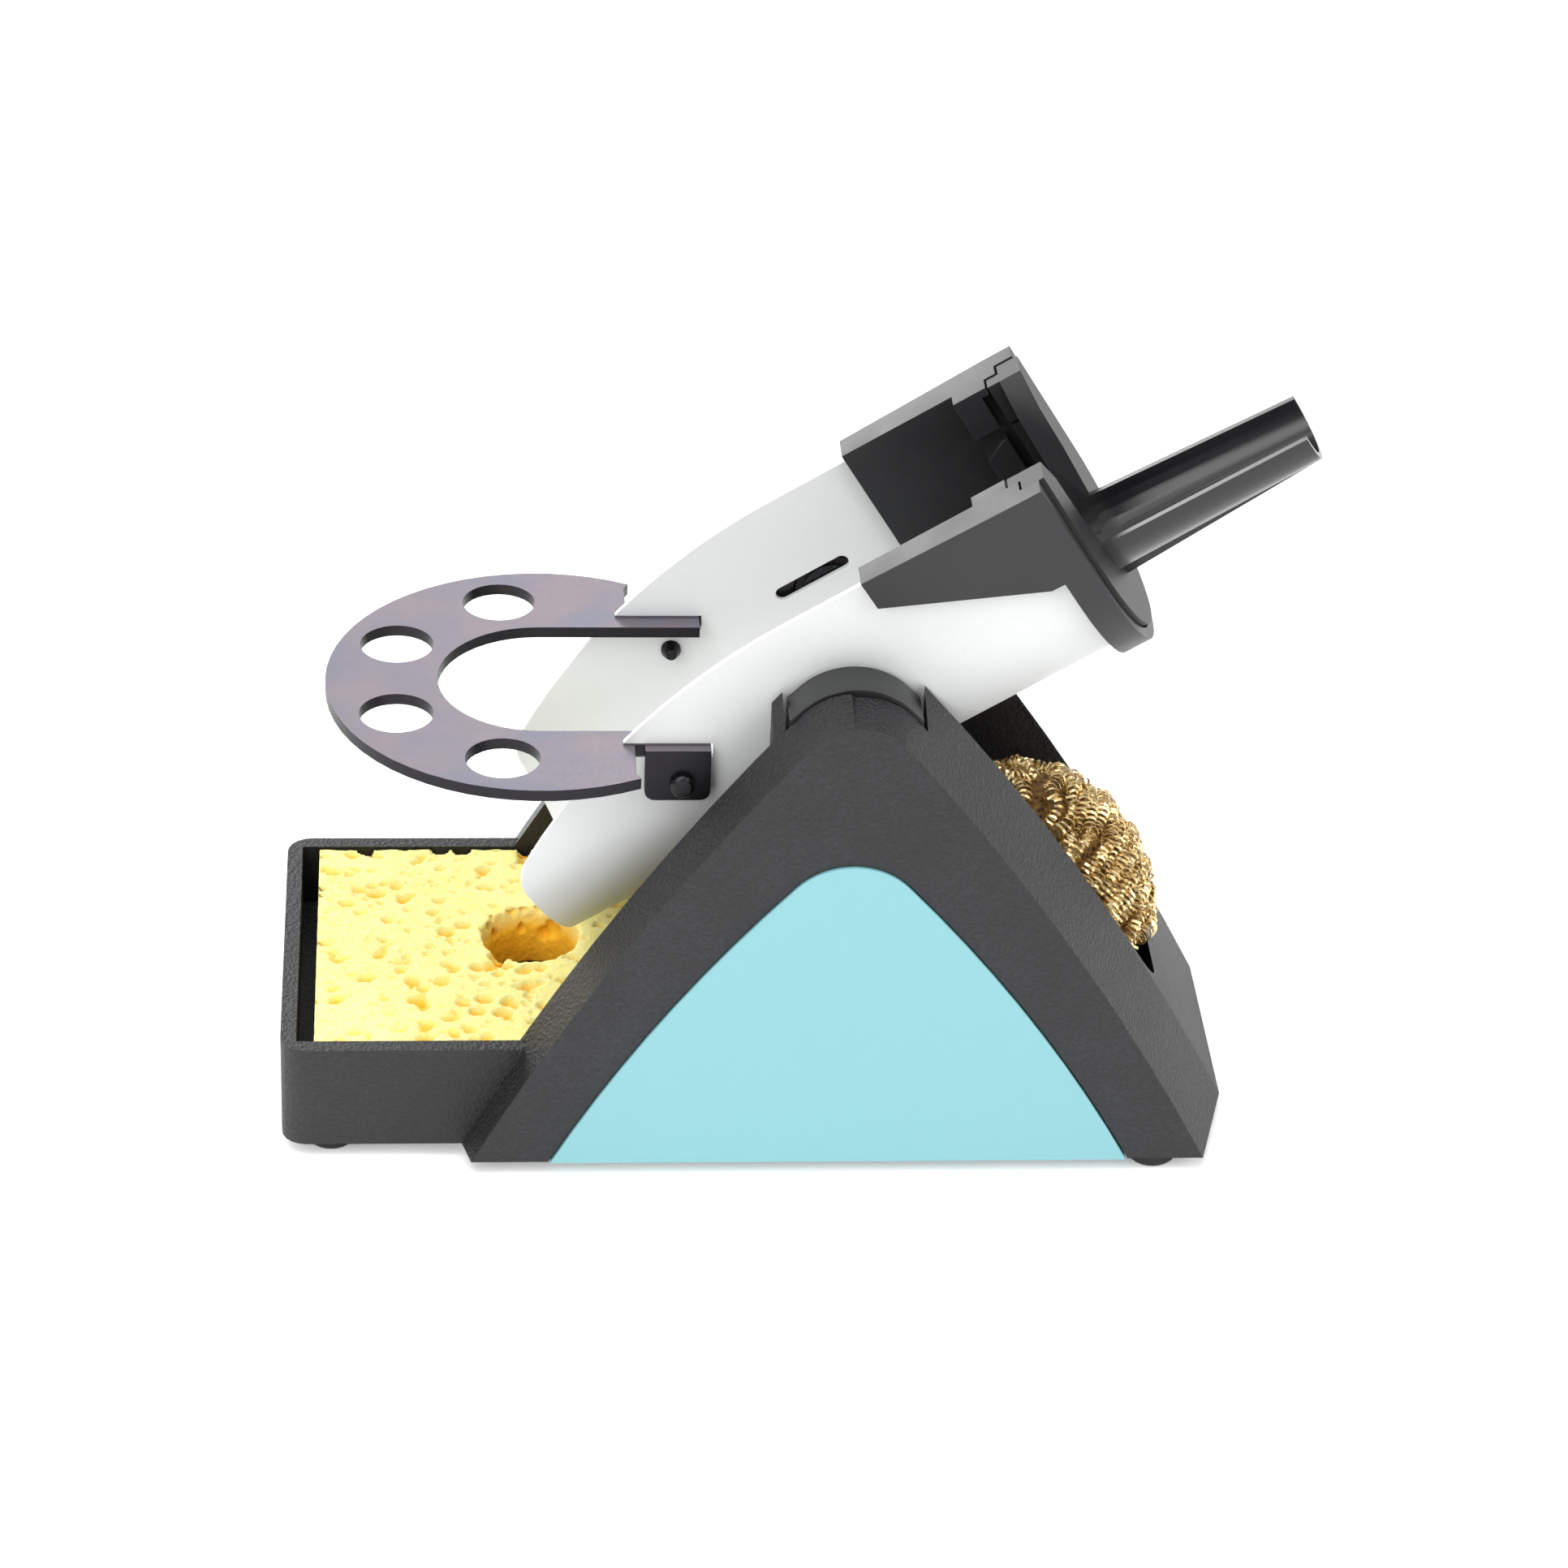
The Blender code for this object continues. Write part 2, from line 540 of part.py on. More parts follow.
def brass_wool(mat):
    """A squashed ball that bulges out of the pocket's mouth.

    Below the rim it draws in, so that it can be pulled out past the end wall."""
    bm = bmesh.new()
    bmesh.ops.create_uvsphere(bm, u_segments=24, v_segments=14, radius=1.0)
    lean = Matrix.Rotation(WOOL_LEAN, 3, "Y")
    for vertex in bm.verts:
        stretched = Vector([share * semi for share, semi in zip(vertex.co, WOOL_SEMI)])
        vertex.co = lean @ stretched + WOOL_CENTRE
    wool = add_object("brass_wool", bm, mat)
    end_x = pocket_end() - GAP
    rim = POCKET_RIM + GAP
    beyond = ((end_x, rim), (FAR, rim), (FAR, 0.0), (end_x - rim / tan(WOOL_PULL), 0.0))
    cut(wool, prism("wool_end_cutter", beyond, 1, -FAR, FAR))
    cut(wool, box("wool_floor_cutter", (-FAR, -FAR, -FAR), (FAR, FAR, FLOOR_TOP + GAP)))
    return wool


# ---------------------------------------------------------------- pivot

def pivot_bearing(name, side, mat):
    """The smooth block in the notch of the arch's top. It holds the stud in a bore."""
    half = [(u, z) for u, z in body_half(CAP_LIFT) if u < CAP_HALF]
    last_u, last_z = half[-1]
    edge_z = last_z - (CAP_HALF - last_u)
    floor = PIVOT_Z - NOTCH_DROP + GAP
    right = [(ARCH_X + CAP_HALF, floor), (ARCH_X + CAP_HALF, edge_z)]
    right += [(ARCH_X + u, z) for u, z in reversed(half)]
    left = [(2 * ARCH_X - x, z) for x, z in reversed(right) if x > ARCH_X]
    outline = right + left
    block = prism(name, outline, 1, side * CHANNEL_HALF, side * WALL_INNER_Y, mat)
    centre = (ARCH_X, PIVOT_Z)
    cut(block, disc("bore_" + name, STUD_RADIUS + GAP, 1, side * (CHANNEL_HALF - WALL),
                    side * (WALL_INNER_Y + WALL), centre))
    cut(block, disc("counterbore_" + name, WASHER_RADIUS + GAP, 1, side * (CHANNEL_HALF - WALL),
                    side * (CHANNEL_HALF + WASHER_THICK + GAP), centre, steps=32))
    return block


def friction_washer(name, side, mat):
    centre = (ARCH_X, PIVOT_Z)
    washer = disc(name, WASHER_RADIUS, 1, side * CHANNEL_HALF, side * (CHANNEL_HALF + WASHER_THICK),
                  centre, mat, 32)
    cut(washer, disc("hole_" + name, STUD_RADIUS + GAP, 1, side * (CHANNEL_HALF - WALL),
                     side * (CHANNEL_HALF + WALL), centre))
    return washer


def pivot_stud(name, side, mat):
    """A stud welded by its flange to the outside of the funnel's wall."""
    face = FUNNEL_RADIUS + GAP
    rings = []
    profile = ((STUD_FLANGE_RADIUS, face), (STUD_FLANGE_RADIUS, face + STUD_FLANGE),
               (STUD_RADIUS, face + STUD_FLANGE), (STUD_RADIUS, WALL_INNER_Y - STUD_END_GAP))
    for radius, y in profile:
        rings.append([(x, side * y, z) for x, z in circle(radius, (ARCH_X, PIVOT_Z))])
    return loft(name, rings, mat)


# ---------------------------------------------------------------- cradle

def channel_section(radius, top, steps=24):
    """Half-round channel (Y, N) with upright walls, from one top edge round to the other.

    Where the top is lower than the channel's axis, there are no walls and less of the round."""
    below = asin(max(0.0, AXIS_N - top) / radius)
    half = radius * cos(below)
    start = below + (pi / (4 * steps) if below > 0.0 else 0.0)
    points = [(-half, top)]
    points += arc((0.0, AXIS_N), radius, pi + start, 2 * pi - start, steps)
    points.append((half, top))
    return points


def shell_section(outer, inner, top):
    return channel_section(outer, top) + list(reversed(channel_section(inner, top)))


def wall_top(s):
    """Height of the funnel's walls along S: level, then curving down, with a rounded corner."""
    drop = 0.0
    if s < 0.0:
        drop = FUNNEL_SWEEP - sqrt(FUNNEL_SWEEP ** 2 - s ** 2)
    into_corner = FUNNEL_LOW_S + FUNNEL_CORNER - s
    if into_corner > 0.0:
        drop += FUNNEL_CORNER - sqrt(max(0.0, FUNNEL_CORNER ** 2 - into_corner ** 2))
    return FUNNEL_TOP_N - drop


def funnel_stations():
    corner = [FUNNEL_LOW_S + FUNNEL_CORNER * (1 - cos(pi / 2 * i / 5)) for i in range(6)]
    sweep_steps = 12
    start = corner[-1]
    sweep = [start * (1 - i / sweep_steps) for i in range(1, sweep_steps + 1)]
    return corner + sweep + [FUNNEL_HIGH_S]


def cradle_axis():
    """The empty on the tilt axis that every tilting piece hangs on."""
    empty = bpy.data.objects.new("cradle_axis", None)
    bpy.context.scene.collection.objects.link(empty)
    empty.matrix_world = Matrix.Translation(PIVOT) @ Matrix.Rotation(-TILT, 4, "Y")


def tilted(obj):
    """Hangs a shape that was drawn in the cradle's frame on the cradle."""
    obj.parent = bpy.data.objects["cradle_axis"]
    return obj


def level(obj):
    """Hangs a shape that was drawn in the world's frame on the cradle, leaving it where it is."""
    obj.parent = bpy.data.objects["cradle_axis"]
    obj.matrix_parent_inverse = (Matrix.Translation(PIVOT) @ Matrix.Rotation(-TILT, 4, "Y")).inverted()
    return obj


def funnel(mat):
    """Bent from one sheet: a half-round channel with upright walls, drawn in the cradle's frame."""
    rings = []
    for s in funnel_stations():
        section = shell_section(FUNNEL_RADIUS, FUNNEL_RADIUS - SHEET, wall_top(s))
        rings.append([(s, y, n) for y, n in section])
    sheet = tilted(loft("funnel", rings, mat))
    slot = rounded_rectangle((SLOT_S - SLOT_LENGTH / 2, SLOT_N - SLOT_WIDTH / 2),
                             (SLOT_S + SLOT_LENGTH / 2, SLOT_N + SLOT_WIDTH / 2),
                             SLOT_WIDTH / 2 - SLOT_WIDTH / 1000, SLOT_STEPS)
    cut(sheet, tilted(prism("slot_cutter", slot, 1, -FAR, FAR)))
    slit = box("slit_cutter", (TIP_CENTRE_X, -FUNNEL_RADIUS - WALL, TIP_TOP - TIP_THICK - GAP),
               (TAB_HIGH_X + SLIT_END_GAP, FUNNEL_RADIUS + WALL, TIP_TOP + GAP))
    cut(sheet, slit)
    cut(sheet, disc("rivet_hole_cutter", RIVET_SHANK + GAP, 1, -FAR, FAR, (RIVET_X, RIVET_Z), steps=12))
    return sheet


def ring_tangent():
    """Angle below level at which the ring's round bottom runs into its flaring sides."""
    rise = HOLDER_TOP_N - AXIS_N
    return acos(RING_RADIUS / sqrt(ARM_HALF ** 2 + rise ** 2)) - atan2(rise, ARM_HALF)


def ring_section():
    """Ring (Y, N): a half-round bottom, and sides that flare out to the width of the arms."""
    low = ring_tangent()
    outer = [(-ARM_HALF, HOLDER_TOP_N)]
    outer += arc((0.0, AXIS_N), RING_RADIUS, pi + low, 2 * pi - low, 24)
    outer.append((ARM_HALF, HOLDER_TOP_N))
    return outer + list(reversed(channel_section(HOLDER_BORE, HOLDER_TOP_N)))


def holder_arm(side):
    """Side plate outside the funnel, with its slanting lower edge and the flare of the ring."""
    inner_y = FUNNEL_RADIUS + GAP
    outline = ((HOLDER_LOW_S, HOLDER_TOP_N), (HOLDER_LOW_S, ARM_LOW_N), (ARM_KNEE_S, ARM_KNEE_N),
               (RING_LOW_S, ARM_KNEE_N), (RING_LOW_S, HOLDER_TOP_N))
    inner = [(s, side * inner_y, n) for s, n in outline]
    outer = []
    for s, n in outline:
        share = (s - HOLDER_LOW_S) / (RING_LOW_S - HOLDER_LOW_S)
        thick = ARM_LOW_THICK + (ARM_HIGH_THICK - ARM_LOW_THICK) * share
        thick -= (HOLDER_TOP_N - n) * tan(ring_tangent())
        outer.append((s, side * (inner_y + thick), n))
    return tilted(loft("arm_%d" % (side > 0), [inner, outer]))


def holder_bridge(side):
    """Rail over the top edge of the funnel's wall, joining the lining to the side plate."""
    low = FUNNEL_TOP_N + GAP
    outer_y = FUNNEL_RADIUS + GAP + ARM_LOW_THICK / 2
    outline = ((HOLDER_BORE, low), (outer_y, low), (outer_y, HOLDER_TOP_N), (HOLDER_BORE, HOLDER_TOP_N))
    return tilted(prism("bridge_%d" % (side > 0), [(side * y, n) for y, n in outline], 0,
                        HOLDER_LOW_S, LINING_END_S))


def guide_blocks(side):
    """Two blocks inside each arm, and the shelf that carries the arm's top over them."""
    inner, outer = sorted((side * (HOLDER_BORE - GUIDE_DEPTH), side * (HOLDER_BORE + GUIDE_ROOT)))
    end = GUIDE_S + GUIDE_LENGTH
    shelf = HOLDER_TOP_N - SHELF_THICK
    upper = ((GUIDE_S, GUIDE_SPLIT_N + GUIDE_SPLIT), (end, GUIDE_SPLIT_N + GUIDE_SPLIT), (end, shelf),
             (SHELF_END_S, shelf), (SHELF_END_S, HOLDER_TOP_N), (GUIDE_S, HOLDER_TOP_N))
    lower = ((GUIDE_S, GUIDE_LOW_N), (end, GUIDE_LOW_N), (end, GUIDE_SPLIT_N),
             (GUIDE_S + GUIDE_CHAMFER_S, GUIDE_SPLIT_N), (GUIDE_S, GUIDE_SPLIT_N - GUIDE_CHAMFER_N))
    return [tilted(prism("guide_%d_%s" % (side > 0, name), outline, 1, inner, outer))
            for name, outline in (("upper", upper), ("lower", lower))]


def iron_holder(mat):
    """Moulded holder: a lining inside the funnel, plates outside it, and a ring at the upper end."""
    lining = shell_section(FUNNEL_RADIUS - SHEET - GAP, HOLDER_BORE, HOLDER_TOP_N)
    holder = tilted(prism("iron_holder", lining, 0, HOLDER_LOW_S, LINING_END_S, mat))
    join(holder, tilted(prism("ring", ring_section(), 0, RING_LOW_S, HOLDER_HIGH_S)))
    for side in (-1.0, 1.0):
        join(holder, holder_arm(side), holder_bridge(side), *guide_blocks(side))
    seat = channel_section(INSERT_RADIUS + GAP, HOLDER_TOP_N + WALL)
    cut(holder, tilted(prism("insert_seat", seat, 0, INSERT_LOW_S - GAP, HOLDER_HIGH_S + WALL)))
    return holder


def mouth_section(half_width, rim):
    """Open mouth of the insert: a half-round bottom, leaning sides and sloping corners at the top."""
    half = [(EAR_HALF, INSERT_TOP_N + WALL), (EAR_HALF, INSERT_TOP_N),
            (MOUTH_SHOULDER_HALF, MOUTH_SHOULDER_N), (MOUTH_WAIST_HALF, MOUTH_WAIST_N)]
    bottom = arc((0.0, rim), half_width, pi, 2 * pi, 12)
    return [(-y, n) for y, n in half] + bottom + list(reversed(half))


def insert_jaws(side):
    """The insert's own two guide blocks on one side, in line with those of the holder."""
    inner, outer = sorted((side * EAR_HALF, side * (HOLDER_BORE - GAP)))
    low = GUIDE_SPLIT_N + GUIDE_SPLIT
    spans = ((low, INSERT_TOP_N), (GUIDE_LOW_N, low - JAW_SPLIT))
    return [tilted(box("jaw_%d_%d" % (side > 0, i), (INSERT_LOW_S - JAW_LENGTH, inner, start),
                       (INSERT_LOW_S + WALL / 2, outer, end))) for i, (start, end) in enumerate(spans)]


def trough_section(radius, rim):
    inner = radius - TROUGH_WALL
    return arc((0.0, rim), radius, pi, 2 * pi, 14) + list(reversed(arc((0.0, rim), inner, pi, 2 * pi, 14)))


def trough_insert(mat):
    section = channel_section(INSERT_RADIUS, INSERT_TOP_N)
    insert = tilted(prism("trough_insert", section, 0, INSERT_LOW_S, INSERT_HIGH_S, mat))
    mouth = mouth_section(TROUGH_ROOT_RADIUS - TROUGH_WALL, TROUGH_ROOT_N)
    cut(insert, tilted(prism("mouth", mouth, 0, INSERT_LOW_S - WALL, INSERT_HIGH_S + WALL)))
    for side in (-1.0, 1.0):
        join(insert, *insert_jaws(side))
    root_s = INSERT_HIGH_S - WALL / 2
    rings = []
    for s, radius, rim in ((root_s, TROUGH_ROOT_RADIUS, TROUGH_ROOT_N),
                           (TROUGH_END_S, TROUGH_END_RADIUS, TROUGH_END_N)):
        rings.append([(s, y, n) for y, n in trough_section(radius, rim)])
    join(insert, tilted(loft("trough", rings)))
    keel = ((root_s, TROUGH_ROOT_N - TROUGH_ROOT_RADIUS + TROUGH_WALL / 2), (root_s, KEEL_ROOT_N),
            (TROUGH_END_S - GAP, KEEL_END_N),
            (TROUGH_END_S - GAP, TROUGH_END_N - TROUGH_END_RADIUS + TROUGH_WALL / 2))
    join(insert, tilted(prism("keel", keel, 1, -KEEL_THICK / 2, KEEL_THICK / 2)))
    return insert


# ---------------------------------------------------------------- tip holder

def tip_plan():
    """Horseshoe outline (X, Y) with two straight arms, notched beside each bent-down tab."""
    outer_radius = TIP_PITCH + TIP_MARGIN
    inner_radius = TIP_PITCH - TIP_MARGIN
    across = TIP_ARM_X - TIP_CENTRE_X
    reach = sqrt(across ** 2 + TIP_ARM_HALF ** 2)
    away = acos(outer_radius / reach) if reach > outer_radius else 0.0
    touch = atan2(TIP_ARM_HALF, across) + away
    half = [(TAB_HIGH_X, inner_radius), (TAB_HIGH_X, TAB_INNER_Y + TAB_THICK),
            (TAB_LOW_X, TAB_INNER_Y + TAB_THICK), (TAB_LOW_X, FUNNEL_RADIUS),
            (TIP_ARM_X, FUNNEL_RADIUS), (TIP_ARM_X, TIP_ARM_HALF)]
    rim = arc((TIP_CENTRE_X, 0.0), outer_radius, touch, 2 * pi - touch, 40)
    inner = arc((TIP_CENTRE_X, 0.0), inner_radius, 3 * pi / 2, pi / 2, 24)
    other = [(x, -y) for x, y in reversed(half)]
    return half + rim + other + inner


def tab(side):
    low, high = TIP_TOP - TAB_DROP, TIP_TOP - TIP_THICK / 2
    outline = [(TAB_LOW_X, high)]
    outline += arc((TAB_LOW_X + TAB_CORNER, low + TAB_CORNER), TAB_CORNER, pi, 3 * pi / 2, 4)
    outline += arc((TAB_HIGH_X - TAB_CORNER, low + TAB_CORNER), TAB_CORNER, 3 * pi / 2, 2 * pi, 4)
    outline.append((TAB_HIGH_X, high))
    plate = prism("tab_%d" % (side > 0), outline, 1, side * TAB_INNER_Y, side * (TAB_INNER_Y + TAB_THICK))
    cut(plate, disc("tab_hole_%d" % (side > 0), RIVET_SHANK + GAP, 1, -FAR, FAR, (RIVET_X, RIVET_Z),
                    steps=12))
    return plate


def tip_holder(mat):
    plate = prism("tip_holder", tip_plan(), 2, TIP_TOP - TIP_THICK, TIP_TOP, mat)
    for i, angle in enumerate(TIP_HOLE_ANGLES):
        for side in (-1.0, 1.0):
            centre = (TIP_CENTRE_X + TIP_PITCH * cos(angle), side * TIP_PITCH * sin(angle))
            cut(plate, disc("tip_hole_%d_%d" % (i, side > 0), TIP_HOLE, 2, 0.0, FAR, centre, steps=32))
    join(plate, tab(-1.0), tab(1.0))
    return plate


def rivet(name, side, mat):
    """Push-in rivet: a head outside, a shank through tab and sheet, and a barb inside the funnel."""
    outer = TAB_INNER_Y + TAB_THICK + GAP
    inner = FUNNEL_RADIUS - SHEET - GAP
    profile = ((RIVET_CROWN, outer + RIVET_HEAD_THICK), (RIVET_HEAD, outer + RIVET_RIM_THICK),
               (RIVET_HEAD, outer), (RIVET_SHANK, outer), (RIVET_SHANK, inner),
               (RIVET_BARB, inner - GAP), (RIVET_TIP, inner - GAP - RIVET_BARB_LENGTH))
    rings = [[(x, side * y, z) for x, z in circle(radius, (RIVET_X, RIVET_Z), 12)] for radius, y in profile]
    return loft(name, rings, mat)


# ---------------------------------------------------------------- assembly

def main():
    clear_scene()
    housing_plastic = material("housing_plastic", (0.045, 0.045, 0.047), 0.62)
    cover_plastic = material("cover_plastic", (0.38, 0.74, 0.78), 0.42)
    bearing_plastic = material("bearing_plastic", (0.04, 0.04, 0.042), 0.45)
    sheet_metal = material("sheet_metal", (0.72, 0.75, 0.76), 0.38, 0.6)
    holder_plastic = material("holder_plastic", (0.05, 0.05, 0.055), 0.5)
    gloss_plastic = material("gloss_plastic", (0.04, 0.04, 0.045), 0.22)
    tip_steel = material("tip_steel", (0.16, 0.13, 0.16), 0.4, 0.6)
    steel = material("steel", (0.55, 0.56, 0.58), 0.35, 1.0)
    rubber = material("rubber", (0.02, 0.02, 0.02), 0.85)
    viscose = material("viscose", (0.95, 0.72, 0.12), 0.9)
    brass = material("brass", (0.72, 0.5, 0.18), 0.25, 1.0)
    fibre = material("fibre", (0.28, 0.22, 0.16), 0.8)

    cradle_axis()
    base_housing(housing_plastic)
    cover("front_cover", -1.0, cover_plastic)
    cover("back_cover", 1.0, cover_plastic)
    ballast_plate(steel)
    for i, (x, y) in enumerate(screw_places()):
        ballast_screw("ballast_screw_%d" % (i + 1), x, y, steel)
    for side, name in ((-1.0, "front"), (1.0, "back")):
        for end, (x, y) in zip(("left", "right"), foot_places()):
            foot("foot_%s_%s" % (name, end), x, side * y, rubber)
    sponge(viscose)
    brass_wool(brass)

    for side, name in ((-1.0, "front"), (1.0, "back")):
        pivot_bearing(name + "_pivot_bearing", side, bearing_plastic)
        friction_washer(name + "_friction_washer", side, fibre)
        level(pivot_stud(name + "_pivot_stud", side, steel))
        level(rivet(name + "_rivet", side, gloss_plastic))
    level(tip_holder(tip_steel))
    funnel(sheet_metal)
    iron_holder(holder_plastic)
    trough_insert(gloss_plastic)


main()
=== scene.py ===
# %% [markdown]
# # A soldering iron stand, finished for looks
#
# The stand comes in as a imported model: 26 plain solids at their real places and sizes, in metres.
# This lesson gives them soft edges and real finishes, swaps the plain block of sponge and the
# plain ball of brass wool for detailed ones, and sets up a floor, lights and a camera.

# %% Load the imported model
from math import cos, pi, radians, sin, sqrt

import bmesh
import bpy
import numpy as np
from mathutils import Matrix, Vector, noise
from mathutils.bvhtree import BVHTree


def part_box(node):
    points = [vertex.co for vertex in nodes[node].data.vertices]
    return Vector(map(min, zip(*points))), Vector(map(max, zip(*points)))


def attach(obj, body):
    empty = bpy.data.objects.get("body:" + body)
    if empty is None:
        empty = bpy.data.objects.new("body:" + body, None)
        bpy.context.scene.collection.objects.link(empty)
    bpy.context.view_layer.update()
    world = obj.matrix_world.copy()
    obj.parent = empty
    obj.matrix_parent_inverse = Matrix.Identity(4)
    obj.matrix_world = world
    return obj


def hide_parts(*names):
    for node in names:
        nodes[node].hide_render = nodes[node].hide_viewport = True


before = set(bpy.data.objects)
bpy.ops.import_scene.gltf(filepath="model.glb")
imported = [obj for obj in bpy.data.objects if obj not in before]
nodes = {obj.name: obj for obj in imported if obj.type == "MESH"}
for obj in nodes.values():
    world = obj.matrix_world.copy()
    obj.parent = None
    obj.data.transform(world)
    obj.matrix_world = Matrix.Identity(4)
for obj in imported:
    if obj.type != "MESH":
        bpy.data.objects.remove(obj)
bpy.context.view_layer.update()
MM = 0.001

# %% [markdown]
# ## The camera
#
# A product is usually shown through a long lens, so that its upright edges stay nearly parallel.
# The camera looks down at the middle of the stand at about 32 degrees, from a little left of
# straight in front, and it is rolled slightly. Its three axes are worked out from those angles,
# which keeps each angle a number that can be changed on its own.

# %% Camera
AIM = Vector((-0.6, 0.0, 50.8)) * MM
AZIMUTH, ELEVATION, ROLL = radians(-4.83), radians(31.77), radians(2.49)
DISTANCE = 814.5 * MM
SENSOR_WIDTH = 36.0               # a lens is measured against it, both in millimetres
LENS = 115.7
NEAREST = 50 * MM


def add_object(name, data):
    """Puts a camera, a light or a mesh into the scene."""
    made = bpy.data.objects.new(name, data)
    bpy.context.scene.collection.objects.link(made)
    return made


def camera_axes():
    back = Vector((sin(AZIMUTH) * cos(ELEVATION), -cos(AZIMUTH) * cos(ELEVATION), sin(ELEVATION)))
    right = Vector((cos(AZIMUTH), sin(AZIMUTH), 0.0))
    up = back.cross(right)
    rolled_right = right * cos(ROLL) + up * sin(ROLL)
    return rolled_right, back.cross(rolled_right), back


def add_camera():
    data = bpy.data.cameras.new("camera")
    data.sensor_width = SENSOR_WIDTH
    data.lens = LENS
    data.clip_start = NEAREST
    camera = add_object("camera", data)
    right, up, back = camera_axes()
    turn = Matrix((right, up, back)).transposed().to_4x4()
    camera.matrix_world = Matrix.Translation(AIM + back * DISTANCE) @ turn
    bpy.context.scene.camera = camera
    return camera


camera = add_camera()
print("camera at", [round(c, 3) for c in camera.matrix_world.translation])

# %% [markdown]
# ## Shader sums in plain Python
#
# A material is a network of nodes. Wiring one by hand takes many lines, so one small class wraps
# a socket and lets Python's own operators add the Math nodes. `1 - mask` and `grain * 0.3 + 0.2`
# then read as the sums they are. Colours and vectors take Mix and Vector Math nodes, because a
# Math node would turn them grey. A number that is the same all over a surface needs no node: it
# is set on the shader itself.


# %% The socket class and the graph class
class Sock:
    """One output socket of a node. Sums on it add Math nodes."""

    def __init__(self, graph, socket):
        self.graph = graph
        self.socket = socket

    def math(self, operation, first, second):
        return self.graph.node("ShaderNodeMath", {"operation": operation}, {0: first, 1: second})

    def __add__(self, other):
        return self.math("ADD", self, other)

    def __radd__(self, other):
        return self.math("ADD", other, self)

    def __sub__(self, other):
        return self.math("SUBTRACT", self, other)

    def __rsub__(self, other):
        return self.math("SUBTRACT", other, self)

    def __mul__(self, other):
        return self.math("MULTIPLY", self, other)

    def __rmul__(self, other):
        return self.math("MULTIPLY", other, self)

    def __abs__(self):
        return self.graph.node("ShaderNodeMath", {"operation": "ABSOLUTE"}, {0: self})

    def clamp(self):
        """The same value, held between 0 and 1."""
        settings = {"operation": "ADD", "use_clamp": True}
        return self.graph.node("ShaderNodeMath", settings, {0: self, 1: 0.0})


class Graph:
    """A material's nodes. Its shader's sockets are set or fed by name."""

    def __init__(self, name):
        self.material = bpy.data.materials.new(name)
        self.material.use_nodes = True
        self.tree = self.material.node_tree
        self.shader = self.tree.nodes["Principled BSDF"]

    def feed(self, socket, value):
        """Links a socket, or sets it if the value is a plain number or colour."""
        if isinstance(value, Sock):
            self.tree.links.new(value.socket, socket)
        else:
            socket.default_value = value

    def node(self, kind, settings=None, inputs=None, output=0):
        """Any node: settings first, then the values or links of its sockets."""
        made = self.tree.nodes.new(kind)
        for key, value in (settings or {}).items():
            setattr(made, key, value)
        for key, value in (inputs or {}).items():
            self.feed(made.inputs[key], value)
        return Sock(self, made.outputs[output])

    def shade(self, **values):
        """Sets or links the shader's sockets: underscores stand for spaces."""
        for name, value in values.items():
            self.feed(self.shader.inputs[name.replace("_", " ")], value)
        return self.material

    def place(self):
        """Where a point is on its own piece, in metres."""
        return self.node("ShaderNodeTexCoord", output="Object")

    def noise(self, size, detail=3.0, roughness=0.5):
        """Soft blotches about this many metres across, from 0 to 1."""
        return self.node("ShaderNodeTexNoise", {"noise_dimensions": "3D"},
                         {"Vector": self.place(), "Scale": 1.0 / size, "Detail": detail,
                          "Roughness": roughness})

    def cells(self, size, feature="F1"):
        """Round cells about this many metres across."""
        return self.node("ShaderNodeTexVoronoi", {"feature": feature},
                         {"Vector": self.place(), "Scale": 1.0 / size})

    def spread(self, value, low, high, start=0.0, end=1.0):
        """Maps low..high to start..end, and stops there."""
        return self.node("ShaderNodeMapRange", {"clamp": True},
                         {"Value": value, "From Min": low, "From Max": high,
                          "To Min": start, "To Max": end})

    def mix(self, factor, first, second):
        """Between two colours, which sit in the node's seventh and eighth sockets."""
        first, second = [(*c, 1.0) if isinstance(c, tuple) else c for c in (first, second)]
        return self.node("ShaderNodeMix", {"data_type": "RGBA"}, {0: factor, 6: first, 7: second},
                         output=2)

    def facing(self, axis):
        """How much the surface faces along an axis of its own piece, from -1 to 1."""
        normal = self.node("ShaderNodeTexCoord", output="Normal")
        return self.node("ShaderNodeSeparateXYZ", {}, {0: normal}, output="XYZ".index(axis))

    def bump(self, height, depth):
        """A normal from a height from 0 to 1 that stands for this many metres."""
        sockets = {"Strength": 1.0, "Distance": depth, "Height": height}
        return self.node("ShaderNodeBump", {}, sockets, output="Normal")


print("shader helpers ready")

# %% [markdown]
# ## Soft edges
#
# A moulded or stamped piece has no perfectly sharp edge: each one catches a thin line of light.
# The CAD solids are sharp, and their meshes have to stay as they are, so a stack of modifiers
# rounds them: weld joins the split corners, a bevel rounds each edge that turns by more than a
# set angle, and weighted normals keep the large faces flat.

# %% Soft edges for the CAD pieces
WELD_GAP = 0.005 * MM
EDGE_ANGLE = radians(32.0)
EDGE_SEGMENTS = 2


def smooth_faces(piece):
    piece.data.polygons.foreach_set("use_smooth", [True] * len(piece.data.polygons))


